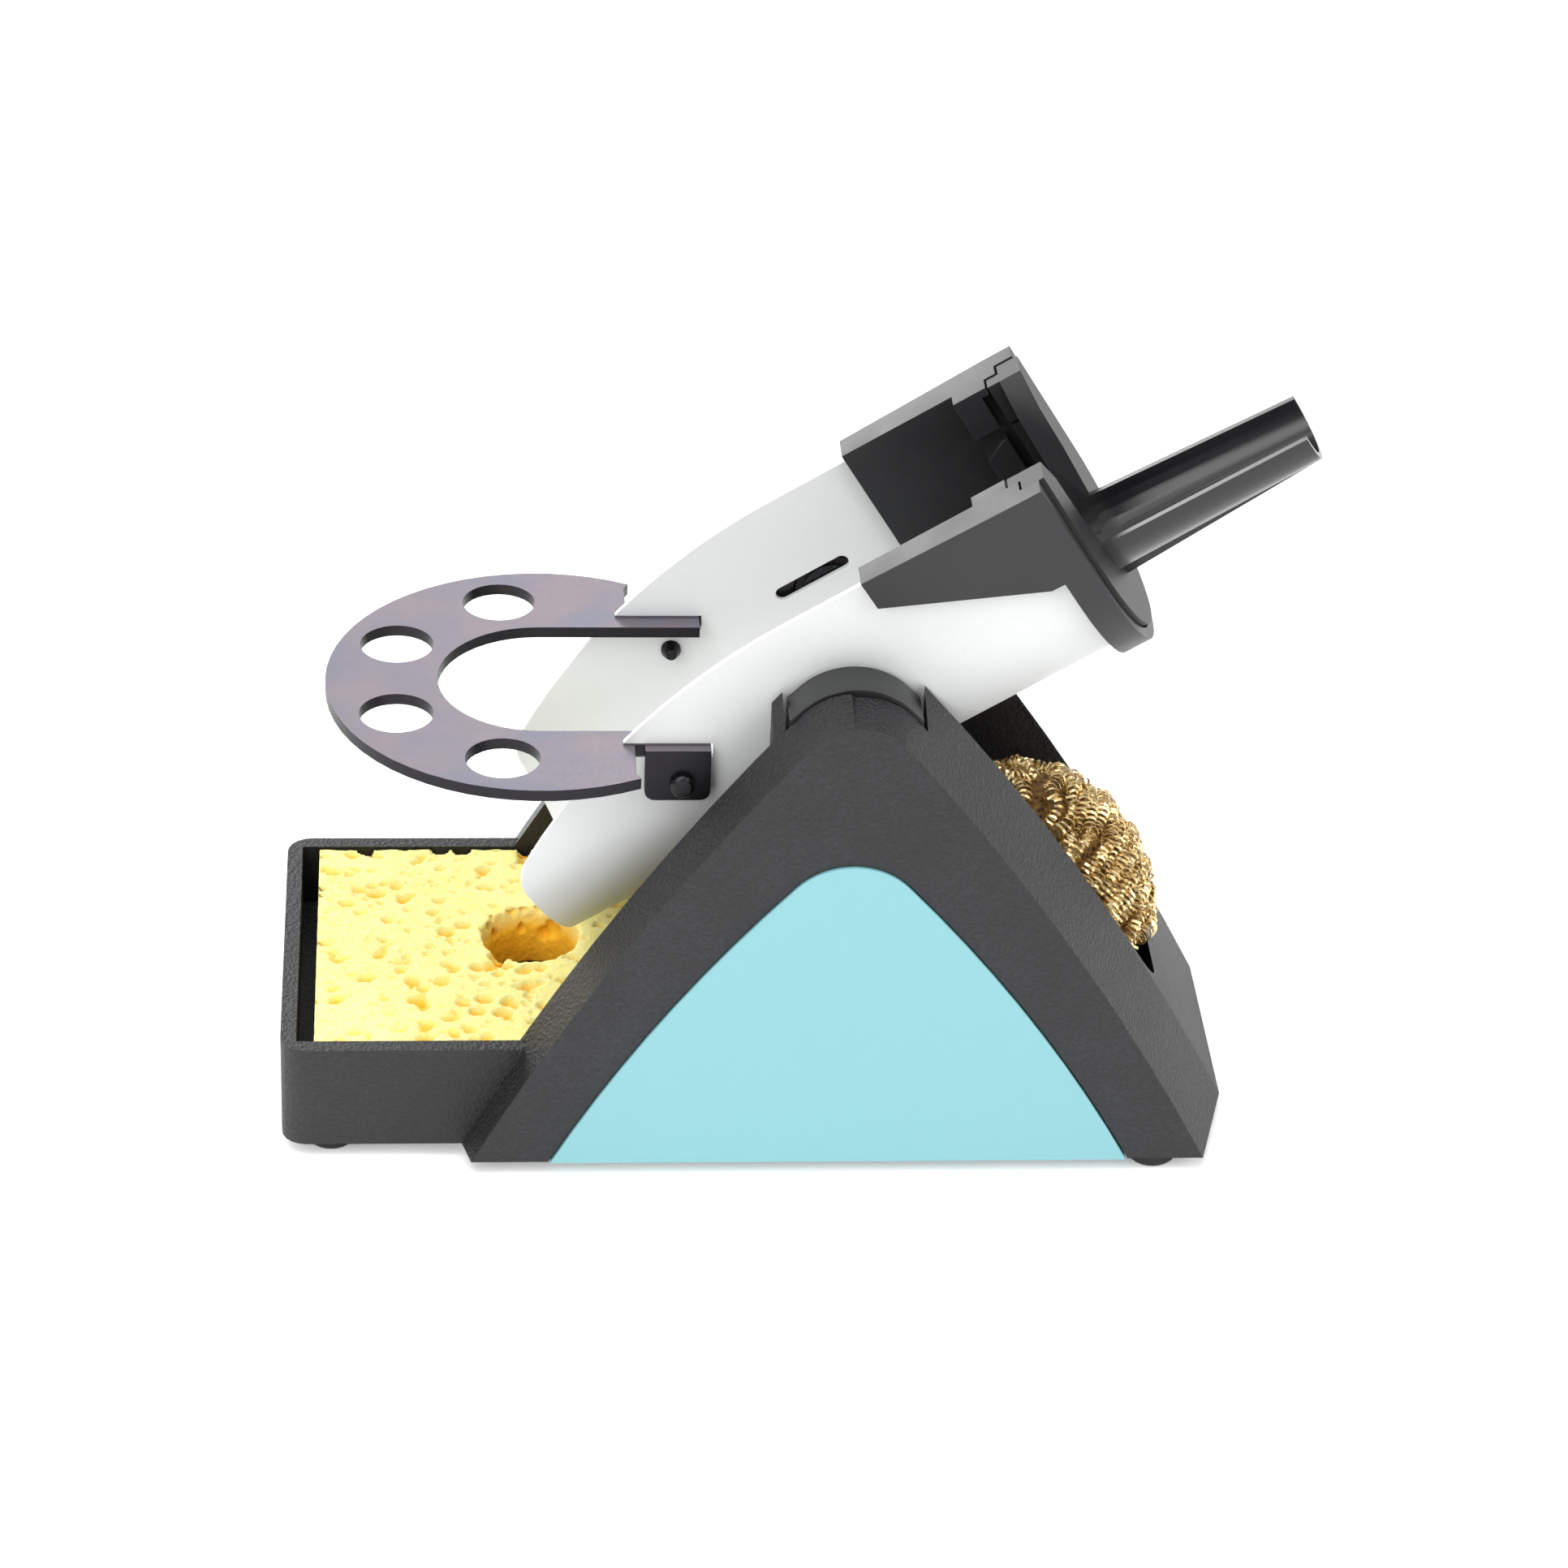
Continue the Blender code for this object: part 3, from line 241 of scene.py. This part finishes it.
def soften(name, width):
    """Rounds a CAD piece's edges with modifiers, which leave its own mesh as it is."""
    piece = nodes[name]
    weld = piece.modifiers.new("weld", "WELD")
    weld.merge_threshold = WELD_GAP
    bevel = piece.modifiers.new("round", "BEVEL")
    bevel.width = width
    bevel.segments = EDGE_SEGMENTS
    bevel.limit_method = "ANGLE"
    bevel.angle_limit = EDGE_ANGLE
    bevel.use_clamp_overlap = True
    piece.modifiers.new("flat_faces", "WEIGHTED_NORMAL")
    smooth_faces(piece)


EDGE_WIDTHS = {                   # in millimetres
    "base_housing": 0.45, "front_cover": 0.5, "back_cover": 0.5,
    "front_pivot_bearing": 0.35, "back_pivot_bearing": 0.35, "funnel": 0.2, "tip_holder": 0.2,
    "iron_holder": 0.3, "trough_insert": 0.25, "front_rivet": 0.12, "back_rivet": 0.12,
    "foot_front_left": 0.3, "foot_front_right": 0.3, "foot_back_left": 0.3, "foot_back_right": 0.3,
}
for name, width in EDGE_WIDTHS.items():
    soften(name, width * MM)
print(len(EDGE_WIDTHS), "pieces with soft edges")

# %% [markdown]
# ## Moulded plastic
#
# The housing is moulded in a tool whose walls are etched, which leaves a leather-like grain. It
# is deep over the arched strips and shallower on the upright outer faces. It could be cut into
# the mesh, but it is finer than a millimetre, so it is a bump: rounded cells with noise between
# them. The way a face looks decides how deep it is.
#
# The covers, the bearings and the holder are smoother. They share one finish with faint specks
# and a sheen that varies slowly, as handled plastic has. The insert is glossy along its trough
# and matt on the disc at its root, so where a point lies along the trough sets how rough it is.

# %% Grained and smooth plastic
def grained_plastic(name, colour, rough, coarse, depth):
    g = Graph(name)
    upright = abs(g.facing("Y"))
    cells = g.cells(coarse, "SMOOTH_F1")
    fine = g.noise(coarse * 0.45, 4.0, 0.6)
    grain = cells * 0.75 + fine * 0.55
    height = grain * g.spread(upright, 0.5, 0.9, 1.0, 0.4)
    patch = g.noise(18 * MM, 2.0)
    lighter = tuple(c * 3.0 for c in colour)
    base = g.mix(g.spread(cells * patch, 0.05, 0.5), colour, lighter)
    roughness = g.spread(fine, 0.3, 0.7, rough - 0.06, rough + 0.08)
    return g.shade(Base_Color=base, Roughness=roughness, Normal=g.bump(height, depth), IOR=1.5)


def satin_plastic(name, colour, rough, size, depth, cloudy=0.2):
    """A finer finish: grain of a size and depth, with specks and clouds as strong as `cloudy`."""
    g = Graph(name)
    fine = g.noise(size, 3.0, 0.6)
    specks = g.spread(g.noise(1.3 * MM, 4.0, 0.75), 0.66, 0.72)
    sheen = g.noise(9 * MM, 3.0)
    lighter = tuple(c * 1.9 + 0.004 for c in colour)
    base = g.mix(specks * (1.75 * cloudy) + sheen * cloudy, colour, lighter)
    roughness = g.spread(sheen + fine * 0.4, 0.35, 0.9, rough - 0.04, rough + 0.07)
    return g.shade(Base_Color=base, Roughness=roughness, Normal=g.bump(fine, depth), IOR=1.5)


CRADLE_AXIS = Vector((0.84526, 0.0, 0.53435))
DISC_FACE = 92.84 * MM            # along the cradle's axis
DISC_START, DISC_END = DISC_FACE + 0.3 * MM, DISC_FACE + 2.2 * MM


def gloss_plastic():
    """Glossy along the trough, and matt on the disc at its root."""
    g = Graph("insert_gloss")
    along = g.node("ShaderNodeVectorMath", {"operation": "DOT_PRODUCT"},
                   {0: g.place(), 1: CRADLE_AXIS}, output="Value")
    matt = 1 - g.spread(along, DISC_START, DISC_END)
    fine = g.noise(0.5 * MM, 3.0, 0.6)
    roughness = g.spread(matt + fine * 0.15, 0.05, 1.1, 0.24, 0.48)
    base = g.mix(fine, (0.009, 0.009, 0.011), (0.014, 0.014, 0.016))
    return g.shade(Base_Color=base, Roughness=roughness, Normal=g.bump(fine, 0.008 * MM), IOR=1.5)


# name, colour, roughness, grain size, grain depth
housing_finish = grained_plastic("housing_grain", (0.006, 0.006, 0.007), 0.46, 0.6 * MM, 0.36 * MM)
cover_finish = satin_plastic("cover_teal", (0.235, 0.50, 0.54), 0.42, 0.25 * MM, 0.008 * MM,
                             cloudy=0.02)
bearing_finish = satin_plastic("bearing_black", (0.012, 0.012, 0.013), 0.34, 0.4 * MM, 0.012 * MM)
holder_finish = satin_plastic("holder_black", (0.013, 0.013, 0.015), 0.40, 0.28 * MM, 0.03 * MM)
insert_finish = gloss_plastic()
rubber_finish = satin_plastic("foot_rubber", (0.012, 0.012, 0.012), 0.7, 0.3 * MM, 0.03 * MM)
print("plastics ready:", len(bpy.data.materials), "materials in the file")

# %% [markdown]
# ## Sheet metal
#
# The funnel is bent sheet with a pale satin coat that glitters very finely. The plate for spare
# tips is bare steel, tinted purple and blue by heat, and its cut edges are painted near black as a
# painted shade. The edges could be a material of their own, but the plate lies flat, so the way a
# face looks tells them apart: faces that look up or down are the rolled sides of the sheet and keep
# the tint, and all the others are cut edges that get the painted shade.

# %% Coated sheet, tinted steel and black screws
def coated_sheet():
    g = Graph("funnel_coat")
    glitter = g.noise(0.22 * MM, 2.0, 0.7)
    cloud = g.noise(25 * MM, 2.0)
    tone = g.spread(glitter, 0.25, 0.75) * 0.7 + cloud * 0.3
    base = g.mix(tone, (0.70, 0.722, 0.716), (0.78, 0.797, 0.792))
    roughness = g.spread(glitter, 0.3, 0.7, 0.38, 0.5)
    return g.shade(Base_Color=base, Roughness=roughness, Metallic=0.08,
                   Normal=g.bump(glitter, 0.01 * MM))


def tinted_steel():
    g = Graph("tip_plate_steel")
    cloud = g.noise(14 * MM, 3.0, 0.55)
    streak = g.noise(0.5 * MM, 3.0, 0.6)
    tint = g.mix(g.spread(cloud, 0.38, 0.64), (0.205, 0.172, 0.192), (0.150, 0.155, 0.205))
    # painted shade: faces that do not look up or down, the cut edges and the walls of the holes,
    # are painted near black
    flat = g.spread(abs(g.facing("Z")), 0.8, 0.95)
    base = g.mix(flat, (0.022, 0.020, 0.024), g.mix(streak * 0.35, tint, (0.27, 0.24, 0.26)))
    roughness = g.spread(streak, 0.3, 0.7, 0.34, 0.46)
    return g.shade(Base_Color=base, Roughness=roughness, Metallic=0.75,
                   Normal=g.bump(streak, 0.01 * MM))


def dark_steel(name, colour, rough):
    g = Graph(name)
    scuff = g.noise(0.7 * MM, 4.0, 0.6)
    base = g.mix(scuff, colour, tuple(c * 1.6 for c in colour))
    roughness = g.spread(scuff, 0.3, 0.7, rough, rough + 0.12)
    return g.shade(Base_Color=base, Roughness=roughness, Metallic=0.8,
                   Normal=g.bump(scuff, 0.015 * MM))


sheet_finish = coated_sheet()
plate_finish = tinted_steel()
rivet_finish = dark_steel("rivet_black", (0.020, 0.020, 0.022), 0.22)
steel_finish = dark_steel("zinc_steel", (0.40, 0.40, 0.41), 0.3)
fibre_finish = satin_plastic("washer_fibre", (0.022, 0.019, 0.017), 0.7, 0.3 * MM, 0.03 * MM)

FINISHES = {
    "base_housing": housing_finish, "front_cover": cover_finish, "back_cover": cover_finish,
    "front_pivot_bearing": bearing_finish, "back_pivot_bearing": bearing_finish,
    "funnel": sheet_finish, "iron_holder": holder_finish, "trough_insert": insert_finish,
    "tip_holder": plate_finish, "front_rivet": rivet_finish, "back_rivet": rivet_finish,
    "front_friction_washer": fibre_finish, "back_friction_washer": fibre_finish,
    "front_pivot_stud": rivet_finish, "back_pivot_stud": rivet_finish,
    "ballast_plate": steel_finish,
    "foot_front_left": rubber_finish, "foot_front_right": rubber_finish,
    "foot_back_left": rubber_finish, "foot_back_right": rubber_finish,
}
FINISHES.update({"ballast_screw_%d" % i: steel_finish for i in range(1, 5)})
for name, finish in FINISHES.items():
    nodes[name].material_slots[0].material = finish
print(len(FINISHES), "CAD pieces finished")

# %% [markdown]
# ## The sponge
#
# The sponge is a cut block of viscose with a punched hole. It is full of small round and oval
# pores, and the cut edges are ragged. A bump on a plain block would leave its edges straight, so
# the pores are real hollows. A block with a hole is first remeshed into small even cells.

# %% Sponge block
def from_bmesh(name, bm):
    """An object from a bmesh, which is freed."""
    mesh = bpy.data.meshes.new(name)
    bm.to_mesh(mesh)
    bm.free()
    return add_object(name, mesh)


def bake_modifiers(piece):
    """Puts the result of the modifiers into the mesh."""
    graph = bpy.context.evaluated_depsgraph_get()
    final = bpy.data.meshes.new_from_object(piece.evaluated_get(graph))
    piece.modifiers.clear()
    piece.data = final


SPONGE_VOXEL = 0.42 * MM
HOLE_CENTRE = Vector((-41.19, 2.5)) * MM
HOLE_RADIUS = 8.2 * MM
HOLE_CORNERS = 64
HOLE_RAGGED = 0.05                # how uneven its rim is, as a share of its radius
sponge_low, sponge_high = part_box("sponge")


def sponge_block():
    """The block with its hole, in small even cells."""
    bm = bmesh.new()
    corners = [(sponge_low.x, sponge_low.y), (sponge_high.x, sponge_low.y),
               (sponge_high.x, sponge_high.y), (sponge_low.x, sponge_high.y)]
    ring = []
    for i in range(HOLE_CORNERS):
        angle = 2 * pi * i / HOLE_CORNERS
        ragged = 1.0 + HOLE_RAGGED * noise.noise((3 * cos(angle), 3 * sin(angle), 5.0))
        ring.append(HOLE_CENTRE + Vector((cos(angle), sin(angle))) * HOLE_RADIUS * ragged)
    loops = []
    for outline in (corners, ring):
        verts = [bm.verts.new((x, y, sponge_low.z)) for x, y in outline]
        loops += [bm.edges.new(pair) for pair in zip(verts, verts[1:] + verts[:1])]
    bmesh.ops.triangle_fill(bm, edges=loops, use_beauty=True)
    lifted = bmesh.ops.extrude_face_region(bm, geom=list(bm.faces))["geom"]
    top = [v for v in lifted if isinstance(v, bmesh.types.BMVert)]
    bmesh.ops.translate(bm, verts=top, vec=(0, 0, sponge_high.z - sponge_low.z))
    bmesh.ops.recalc_face_normals(bm, faces=bm.faces)
    block = from_bmesh("sponge_foam", bm)
    remesh = block.modifiers.new("cells", "REMESH")
    remesh.mode = "VOXEL"
    remesh.voxel_size = SPONGE_VOXEL
    bake_modifiers(block)
    return block


sponge_foam = sponge_block()
print("sponge block:", len(sponge_foam.data.vertices), "corners")

# %% [markdown]
# ## The pores
#
# Each pore is a squashed ball of air, most of them small and many of them on the top face. Every
# corner of the mesh is moved inwards by the depth of the pores there. The depth is kept as a
# value on the mesh, so that the finish can paint the pores orange as a painted shade. Lower down in
# the punched hole, the foam springs back a little, and the kept value rises there too, so the hole
# is painted orange with the same painted shade.

# %% Pores
PORE_COUNT = 950
PORES_ON_TOP = 0.62
PORE_SMALLEST, PORE_SPREAD = 0.45 * MM, 1.25 * MM
PORE_STEP = 0.4 * MM              # how sharply a pore starts at its rim
HOLE_TAPER = 0.13
RAGGED_SIZE, RAGGED_DEPTH = 1.1 * MM, 0.16 * MM
DEEPEST = 1.9 * MM                # a pore this deep is fully orange
SIDE_GAP = 0.02 * MM
chance = np.random.default_rng(7)


def pore_field(points):
    """How deep the pores are at each point, in metres, from many squashed balls of air."""
    low = np.array(sponge_low)
    size = np.array(sponge_high) - low
    centres = low + chance.random((PORE_COUNT, 3)) * size
    on_top = chance.random(PORE_COUNT) < PORES_ON_TOP
    centres[on_top, 2] = sponge_high.z - 0.3 * MM
    long = PORE_SMALLEST + PORE_SPREAD * chance.random(PORE_COUNT) ** 2.2
    wide = long * (0.45 + 0.4 * chance.random(PORE_COUNT))
    turn = 0.5 * chance.normal(size=PORE_COUNT)
    deep = np.zeros(len(points))
    for centre, a, b, t in zip(centres, long, wide, turn):
        near = np.abs(points - centre).max(axis=1) < a
        off = points[near] - centre
        u = off[:, 0] * np.cos(t) + off[:, 1] * np.sin(t)
        v = off[:, 1] * np.cos(t) - off[:, 0] * np.sin(t)
        r = (u / a) ** 2 + (v / b) ** 2 + (off[:, 2] / a) ** 2
        pit = 1.2 * b * np.sqrt(np.clip(1.0 - r, 0.0, 1.0)) + np.where(r < 1.0, PORE_STEP, 0.0)
        deep[near] = np.maximum(deep[near], pit)
    return deep


def read_vectors(items, key):
    """One row of three numbers for each corner of a mesh."""
    values = np.empty(len(items) * 3)
    items.foreach_get(key, values)
    return values.reshape(-1, 3)


def hole_share(points):
    """From 0 outside the punched hole or at its rim, to 1 down inside it."""
    off_hole = np.hypot(points[:, 0] - HOLE_CENTRE.x, points[:, 1] - HOLE_CENTRE.y)
    down = np.clip((sponge_high.z - points[:, 2]) / (4 * MM), 0.0, 1.0)
    return (off_hole < HOLE_RADIUS * 1.12) * down


def carve_sponge(piece):
    """Moves every corner of the block in by the depth of the pores there."""
    mesh = piece.data
    points = read_vectors(mesh.vertices, "co")
    normals = read_vectors(mesh.vertex_normals, "vector")
    deep = pore_field(points)
    in_hole = hole_share(points)
    rough = np.array([noise.turbulence(Vector(p) / RAGGED_SIZE, 3, False) for p in points])
    moved = points - normals * (deep + rough * RAGGED_DEPTH)[:, None]
    moved[:, :2] -= (moved[:, :2] - np.array(HOLE_CENTRE)) * (HOLE_TAPER * in_hole)[:, None]
    low = np.array(sponge_low) + SIDE_GAP
    high = np.array(sponge_high) - SIDE_GAP
    mesh.vertices.foreach_set("co", np.clip(moved, low, high).ravel())
    # painted shade: deep pores and the lower part of the punched hole are marked to be painted
    # orange
    layer = mesh.attributes.new("pore", "FLOAT", "POINT")
    layer.data.foreach_set("value", np.clip(deep / DEEPEST + in_hole, 0.0, 1.0))
    mesh.update()
    smooth_faces(piece)
    return deep


deep = carve_sponge(sponge_foam)
print("pores cover", round(100 * float((deep > 0.3 * MM).mean())), "% of the sponge")

# %% [markdown]
# ## The sponge's finish
#
# Dry viscose is pale yellow and dull, and light that gets into a pore comes back orange. The
# depth kept on the mesh says where. Structure finer than the mesh is a bump. The foam then takes
# the place of the plain block, and it is declared as padding that fills nine tenths of it.


# %% Sponge finish
def viscose():
    g = Graph("sponge_viscose")
    pore = g.node("ShaderNodeAttribute", {"attribute_name": "pore"}, output="Fac")
    fine = g.noise(0.5 * MM, 4.0, 0.65)
    cells = g.cells(0.7 * MM)
    cloud = g.noise(7 * MM, 3.0)
    light = g.mix(g.spread(cloud, 0.3, 0.7), (1.0, 0.85, 0.19), (1.0, 0.90, 0.28))
    shade = g.mix(g.spread(fine, 0.35, 0.7), light, (1.0, 0.94, 0.48))
    # painted shade: orange where the pores and the punched hole are deep
    base = g.mix((pore * 1.15).clamp(), shade, (0.95, 0.53, 0.03))
    height = fine * 0.6 + cells * 0.6
    return g.shade(Base_Color=base, Roughness=0.85, Normal=g.bump(height, 0.12 * MM),
                   Specular_IOR_Level=0.2)


sponge_foam.data.materials.clear()
sponge_foam.data.materials.append(viscose())
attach(sponge_foam, "base")
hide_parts("sponge")
print("sponge done")

# %% [markdown]
# ## The brass wool
#
# The wool is made of thin brass ribbon that springs into tight curls, wound into a ball. A bumpy
# ball would show a smooth outline, so the curls are real. Each strand follows a path that circles
# the ball just under its skin, which is found by casting rays at the plain solid.

# %% Path of the strands
wool_low, wool_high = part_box("brass_wool")
WOOL_CENTRE = (wool_low + wool_high) / 2
CURL_RADIUS = 1.35 * MM
WOOL_LEAN = radians(-30.0)
PATH_STEPS = 90                   # points in the longest path, round the middle of the ball


def solid_tree(name):
    mesh = nodes[name].data
    corners = [v.co.copy() for v in mesh.vertices]
    return BVHTree.FromPolygons(corners, [tuple(p.vertices) for p in mesh.polygons])


wool_tree = solid_tree("brass_wool")


def wool_skin(direction, inset):
    """A point this far inside the ball's surface, in a direction from its centre."""
    hit = wool_tree.ray_cast(WOOL_CENTRE, direction)[0]
    reach = (hit - WOOL_CENTRE).length
    return WOOL_CENTRE + direction * (reach - inset)


def strand_path(level, wobble, seed):
    """Points round the ball at a level from -1 (bottom) to 1 (top) of its leaning axis."""
    lean = Matrix.Rotation(WOOL_LEAN, 3, "Y") @ Matrix.Rotation(wobble, 3, "X")
    round_size = sqrt(max(0.0, 1.0 - level * level))
    steps = max(16, int(PATH_STEPS * round_size))
    points = []
    for i in range(steps + 1):
        angle = 2 * pi * i / steps
        drift = 0.07 * noise.noise((2 * cos(angle), 2 * sin(angle), seed))
        tall = max(-0.999, min(0.999, level + drift))
        flat = sqrt(1.0 - tall * tall)
        direction = lean @ Vector((flat * cos(angle), flat * sin(angle), tall))
        depth = noise.noise((3 * cos(angle), 3 * sin(angle), seed + 9.0))
        inset = CURL_RADIUS * (1.25 + 0.5 * depth)
        points.append(wool_skin(direction.normalized(), inset))
    return points


print("ball of wool in mm:", [round(c / MM, 1) for c in wool_high - wool_low])

# %% [markdown]
# ## The curled ribbon
#
# The ribbon winds round its path as a helix whose size swells and shrinks and whose turns wander,
# and the ribbon itself twists, so that no two curls catch the light alike. A curve with a bevel
# could make it too, but worked out as rows of four corners it is exact and quick. The ribbon has
# a real thickness, and both its ends are closed.

# %% Curled ribbon
CURL_PITCH = 1.0 * MM
CURL_STEPS = 11                   # rows of corners in one turn
CURL_HOLD = 9                     # rows that share one chance swell
RIBBON_WIDTH = 0.42 * MM
RIBBON_THICK = 0.07 * MM


def unit_rows(rows):
    return rows / (np.linalg.norm(rows, axis=1)[:, None] + 1e-12)


def ribbon(points, seed):
    """Closed ribbon that curls round a path: returns corners and faces."""
    spots = np.array([tuple(p) for p in points])
    gaps = np.linalg.norm(np.diff(spots, axis=0), axis=1)
    along = np.concatenate([[0.0], np.cumsum(gaps)])
    count = int(along[-1] / CURL_PITCH * CURL_STEPS)
    where = np.linspace(0.0, along[-1], count)
    centre = np.stack([np.interp(where, along, spots[:, k]) for k in range(3)], axis=1)
    tangent = unit_rows(np.gradient(centre, axis=0))
    out = centre - np.array(WOOL_CENTRE)
    out = unit_rows(out - (out * tangent).sum(axis=1)[:, None] * tangent)
    side = np.cross(tangent, out)
    wander = chance.normal(size=count).cumsum() * 0.03
    phase = 2 * pi * where / CURL_PITCH + wander + seed
    jumps = chance.normal(size=count // CURL_HOLD + 2).repeat(CURL_HOLD)[:count]
    swell = 1.0 + 0.28 * np.sin(where / (2.1 * MM) + seed) + 0.16 * jumps
    radius = CURL_RADIUS * 0.82 * np.clip(swell, 0.55, 1.22)
    radial = out * np.cos(phase)[:, None] + side * np.sin(phase)[:, None]
    line = centre + radial * radius[:, None]
    twist = 0.7 * np.sin(where / (1.7 * MM) + 2 * seed)
    broad = tangent * np.cos(twist)[:, None] + radial * np.sin(twist)[:, None]
    thin = radial * np.cos(twist)[:, None] - tangent * np.sin(twist)[:, None]
    corners = []
    for a, b in ((-1, -1), (1, -1), (1, 1), (-1, 1)):
        corners.append(line + broad * a * RIBBON_WIDTH / 2 + thin * b * RIBBON_THICK / 2)
    verts = np.stack(corners, axis=1).reshape(-1, 3)
    faces = []
    for i in range(count - 1):
        for k in range(4):
            n = (k + 1) % 4
            faces.append((4 * i + k, 4 * i + n, 4 * i + 4 + n, 4 * i + 4 + k))
    faces.append((3, 2, 1, 0))
    end = 4 * (count - 1)
    faces.append((end, end + 1, end + 2, end + 3))
    return verts, faces


STRAND_LEVELS = np.append(np.arange(-0.93, 0.97, 0.088), (0.93, 0.985))


def mesh_object(name, verts, faces):
    mesh = bpy.data.meshes.new(name)
    mesh.from_pydata(verts, [], faces)
    mesh.update()
    return add_object(name, mesh)


def wool_ball():
    """All the strands together, in one mesh."""
    verts, faces = [], []
    total = 0
    for number, level in enumerate(STRAND_LEVELS):
        path = strand_path(float(level), 0.16 * (chance.random() - 0.5), 4.7 * number)
        got, quads = ribbon(path, 1.3 * number)
        verts.append(got)
        faces += [tuple(c + total for c in quad) for quad in quads]
        total += len(got)
    return mesh_object("wool_curls", np.concatenate(verts).tolist(), faces)


wool_curls = wool_ball()
print("wool:", len(wool_curls.data.polygons), "faces in", len(STRAND_LEVELS), "strands")

# %% [markdown]
# ## The depth of the ball and its brass
#
# Between the curls one looks into the ball, where hardly any light comes out. More curls inside
# would double the mesh and never be seen, so a lumpy core painted dull brown, a painted shade,
# stands for that depth. The curls are bright brass, with duller patches where the metal has aged.


# %% Core of the ball and the brass finish
def wool_core():
    bm = bmesh.new()
    bmesh.ops.create_icosphere(bm, subdivisions=5, radius=1.0)
    for vert in bm.verts:
        direction = vert.co.normalized()
        lumps = 1.3 * noise.noise(direction * 9.0) + 0.7 * noise.noise(direction * 21.0)
        vert.co = wool_skin(direction, CURL_RADIUS * 1.9 - lumps * 0.3 * MM)
    core = from_bmesh("wool_core", bm)
    smooth_faces(core)
    return core


def brass(name, bright, dull, rough):
    g = Graph(name)
    cloud = g.noise(1.1 * MM, 3.0, 0.6)
    base = g.mix(g.spread(cloud, 0.35, 0.65), bright, dull)
    roughness = g.spread(cloud, 0.3, 0.7, rough, rough + 0.15)
    return g.shade(Base_Color=base, Roughness=roughness, Metallic=1.0)


def painted_wool_shade():
    g = Graph("wool_shade")
    curl = g.cells(1.1 * MM)
    # painted shade: the core's dark browns stand for the shaded depth between the curls
    base = g.mix(g.spread(curl, 0.15, 0.6), (0.045, 0.022, 0.006), (0.22, 0.12, 0.03))
    return g.shade(Base_Color=base, Roughness=0.6, Metallic=0.6, Normal=g.bump(curl, 0.5 * MM))


core = wool_core()
wool_curls.data.materials.append(brass("wool_brass", (1.0, 0.84, 0.50), (0.80, 0.56, 0.22), 0.24))
core.data.materials.append(painted_wool_shade())
for piece in (wool_curls, core):
    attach(piece, "wool")
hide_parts("brass_wool")
print("brass wool done")

# %% [markdown]
# ## Floor and light
#
# The stand is shown on a bright white table, so its shadow is soft and short. The floor gives off
# a little light of its own, as a lit table does. Large soft lights above and behind put a pale
# sheen on the upward faces and leave the front faces darker.

# %% Floor
FLOOR_GLOW = 0.3


def add_floor():
    floor = mesh_object("floor", [(-4, -4, 0), (4, -4, 0), (4, 4, 0), (-4, 4, 0)], [(0, 1, 2, 3)])
    paint = Graph("floor_paint")
    tone = paint.mix(paint.noise(0.4, 2.0), (0.90, 0.90, 0.90), (0.92, 0.92, 0.92))
    paint.shade(Base_Color=tone, Roughness=0.7, Emission_Color=(1, 1, 1, 1),
                Emission_Strength=FLOOR_GLOW, Specular_IOR_Level=0.2)
    floor.data.materials.append(paint.material)
    return floor


floor = add_floor()
print("floor in metres:", list(floor.dimensions)[:2])


# %% Lights and the surroundings
def add_light(name, place, size, power):
    data = bpy.data.lights.new(name, "AREA")
    data.size = size
    data.energy = power
    turn = (Vector(place) - AIM).to_track_quat("Z", "Y").to_matrix().to_4x4()
    add_object(name, data).matrix_world = Matrix.Translation(place) @ turn


AIR_STRENGTH = 0.38
LIGHTS = (                        # name, place and width in metres, power in watts
    ("top", (-0.15, -0.15, 1.1), 0.9, 9.0),
    ("front_left", (-0.7, -0.9, 0.75), 0.7, 6.5),
    ("right", (0.9, -0.5, 0.7), 0.7, 5.5),
    ("back_left", (-0.55, 0.95, 0.36), 0.6, 7.5),
    ("back", (0.15, 1.0, 0.75), 0.6, 3.0),
)
for name, place, size, power in LIGHTS:
    add_light(name, place, size, power)
studio = bpy.data.worlds.new("studio")
studio.use_nodes = True
air = studio.node_tree.nodes["Background"].inputs
air["Color"].default_value = (1.0, 1.0, 1.0, 1.0)
air["Strength"].default_value = AIR_STRENGTH
bpy.context.scene.world = studio
bpy.context.scene.view_settings.view_transform = "Standard"
print(len(LIGHTS), "lights")
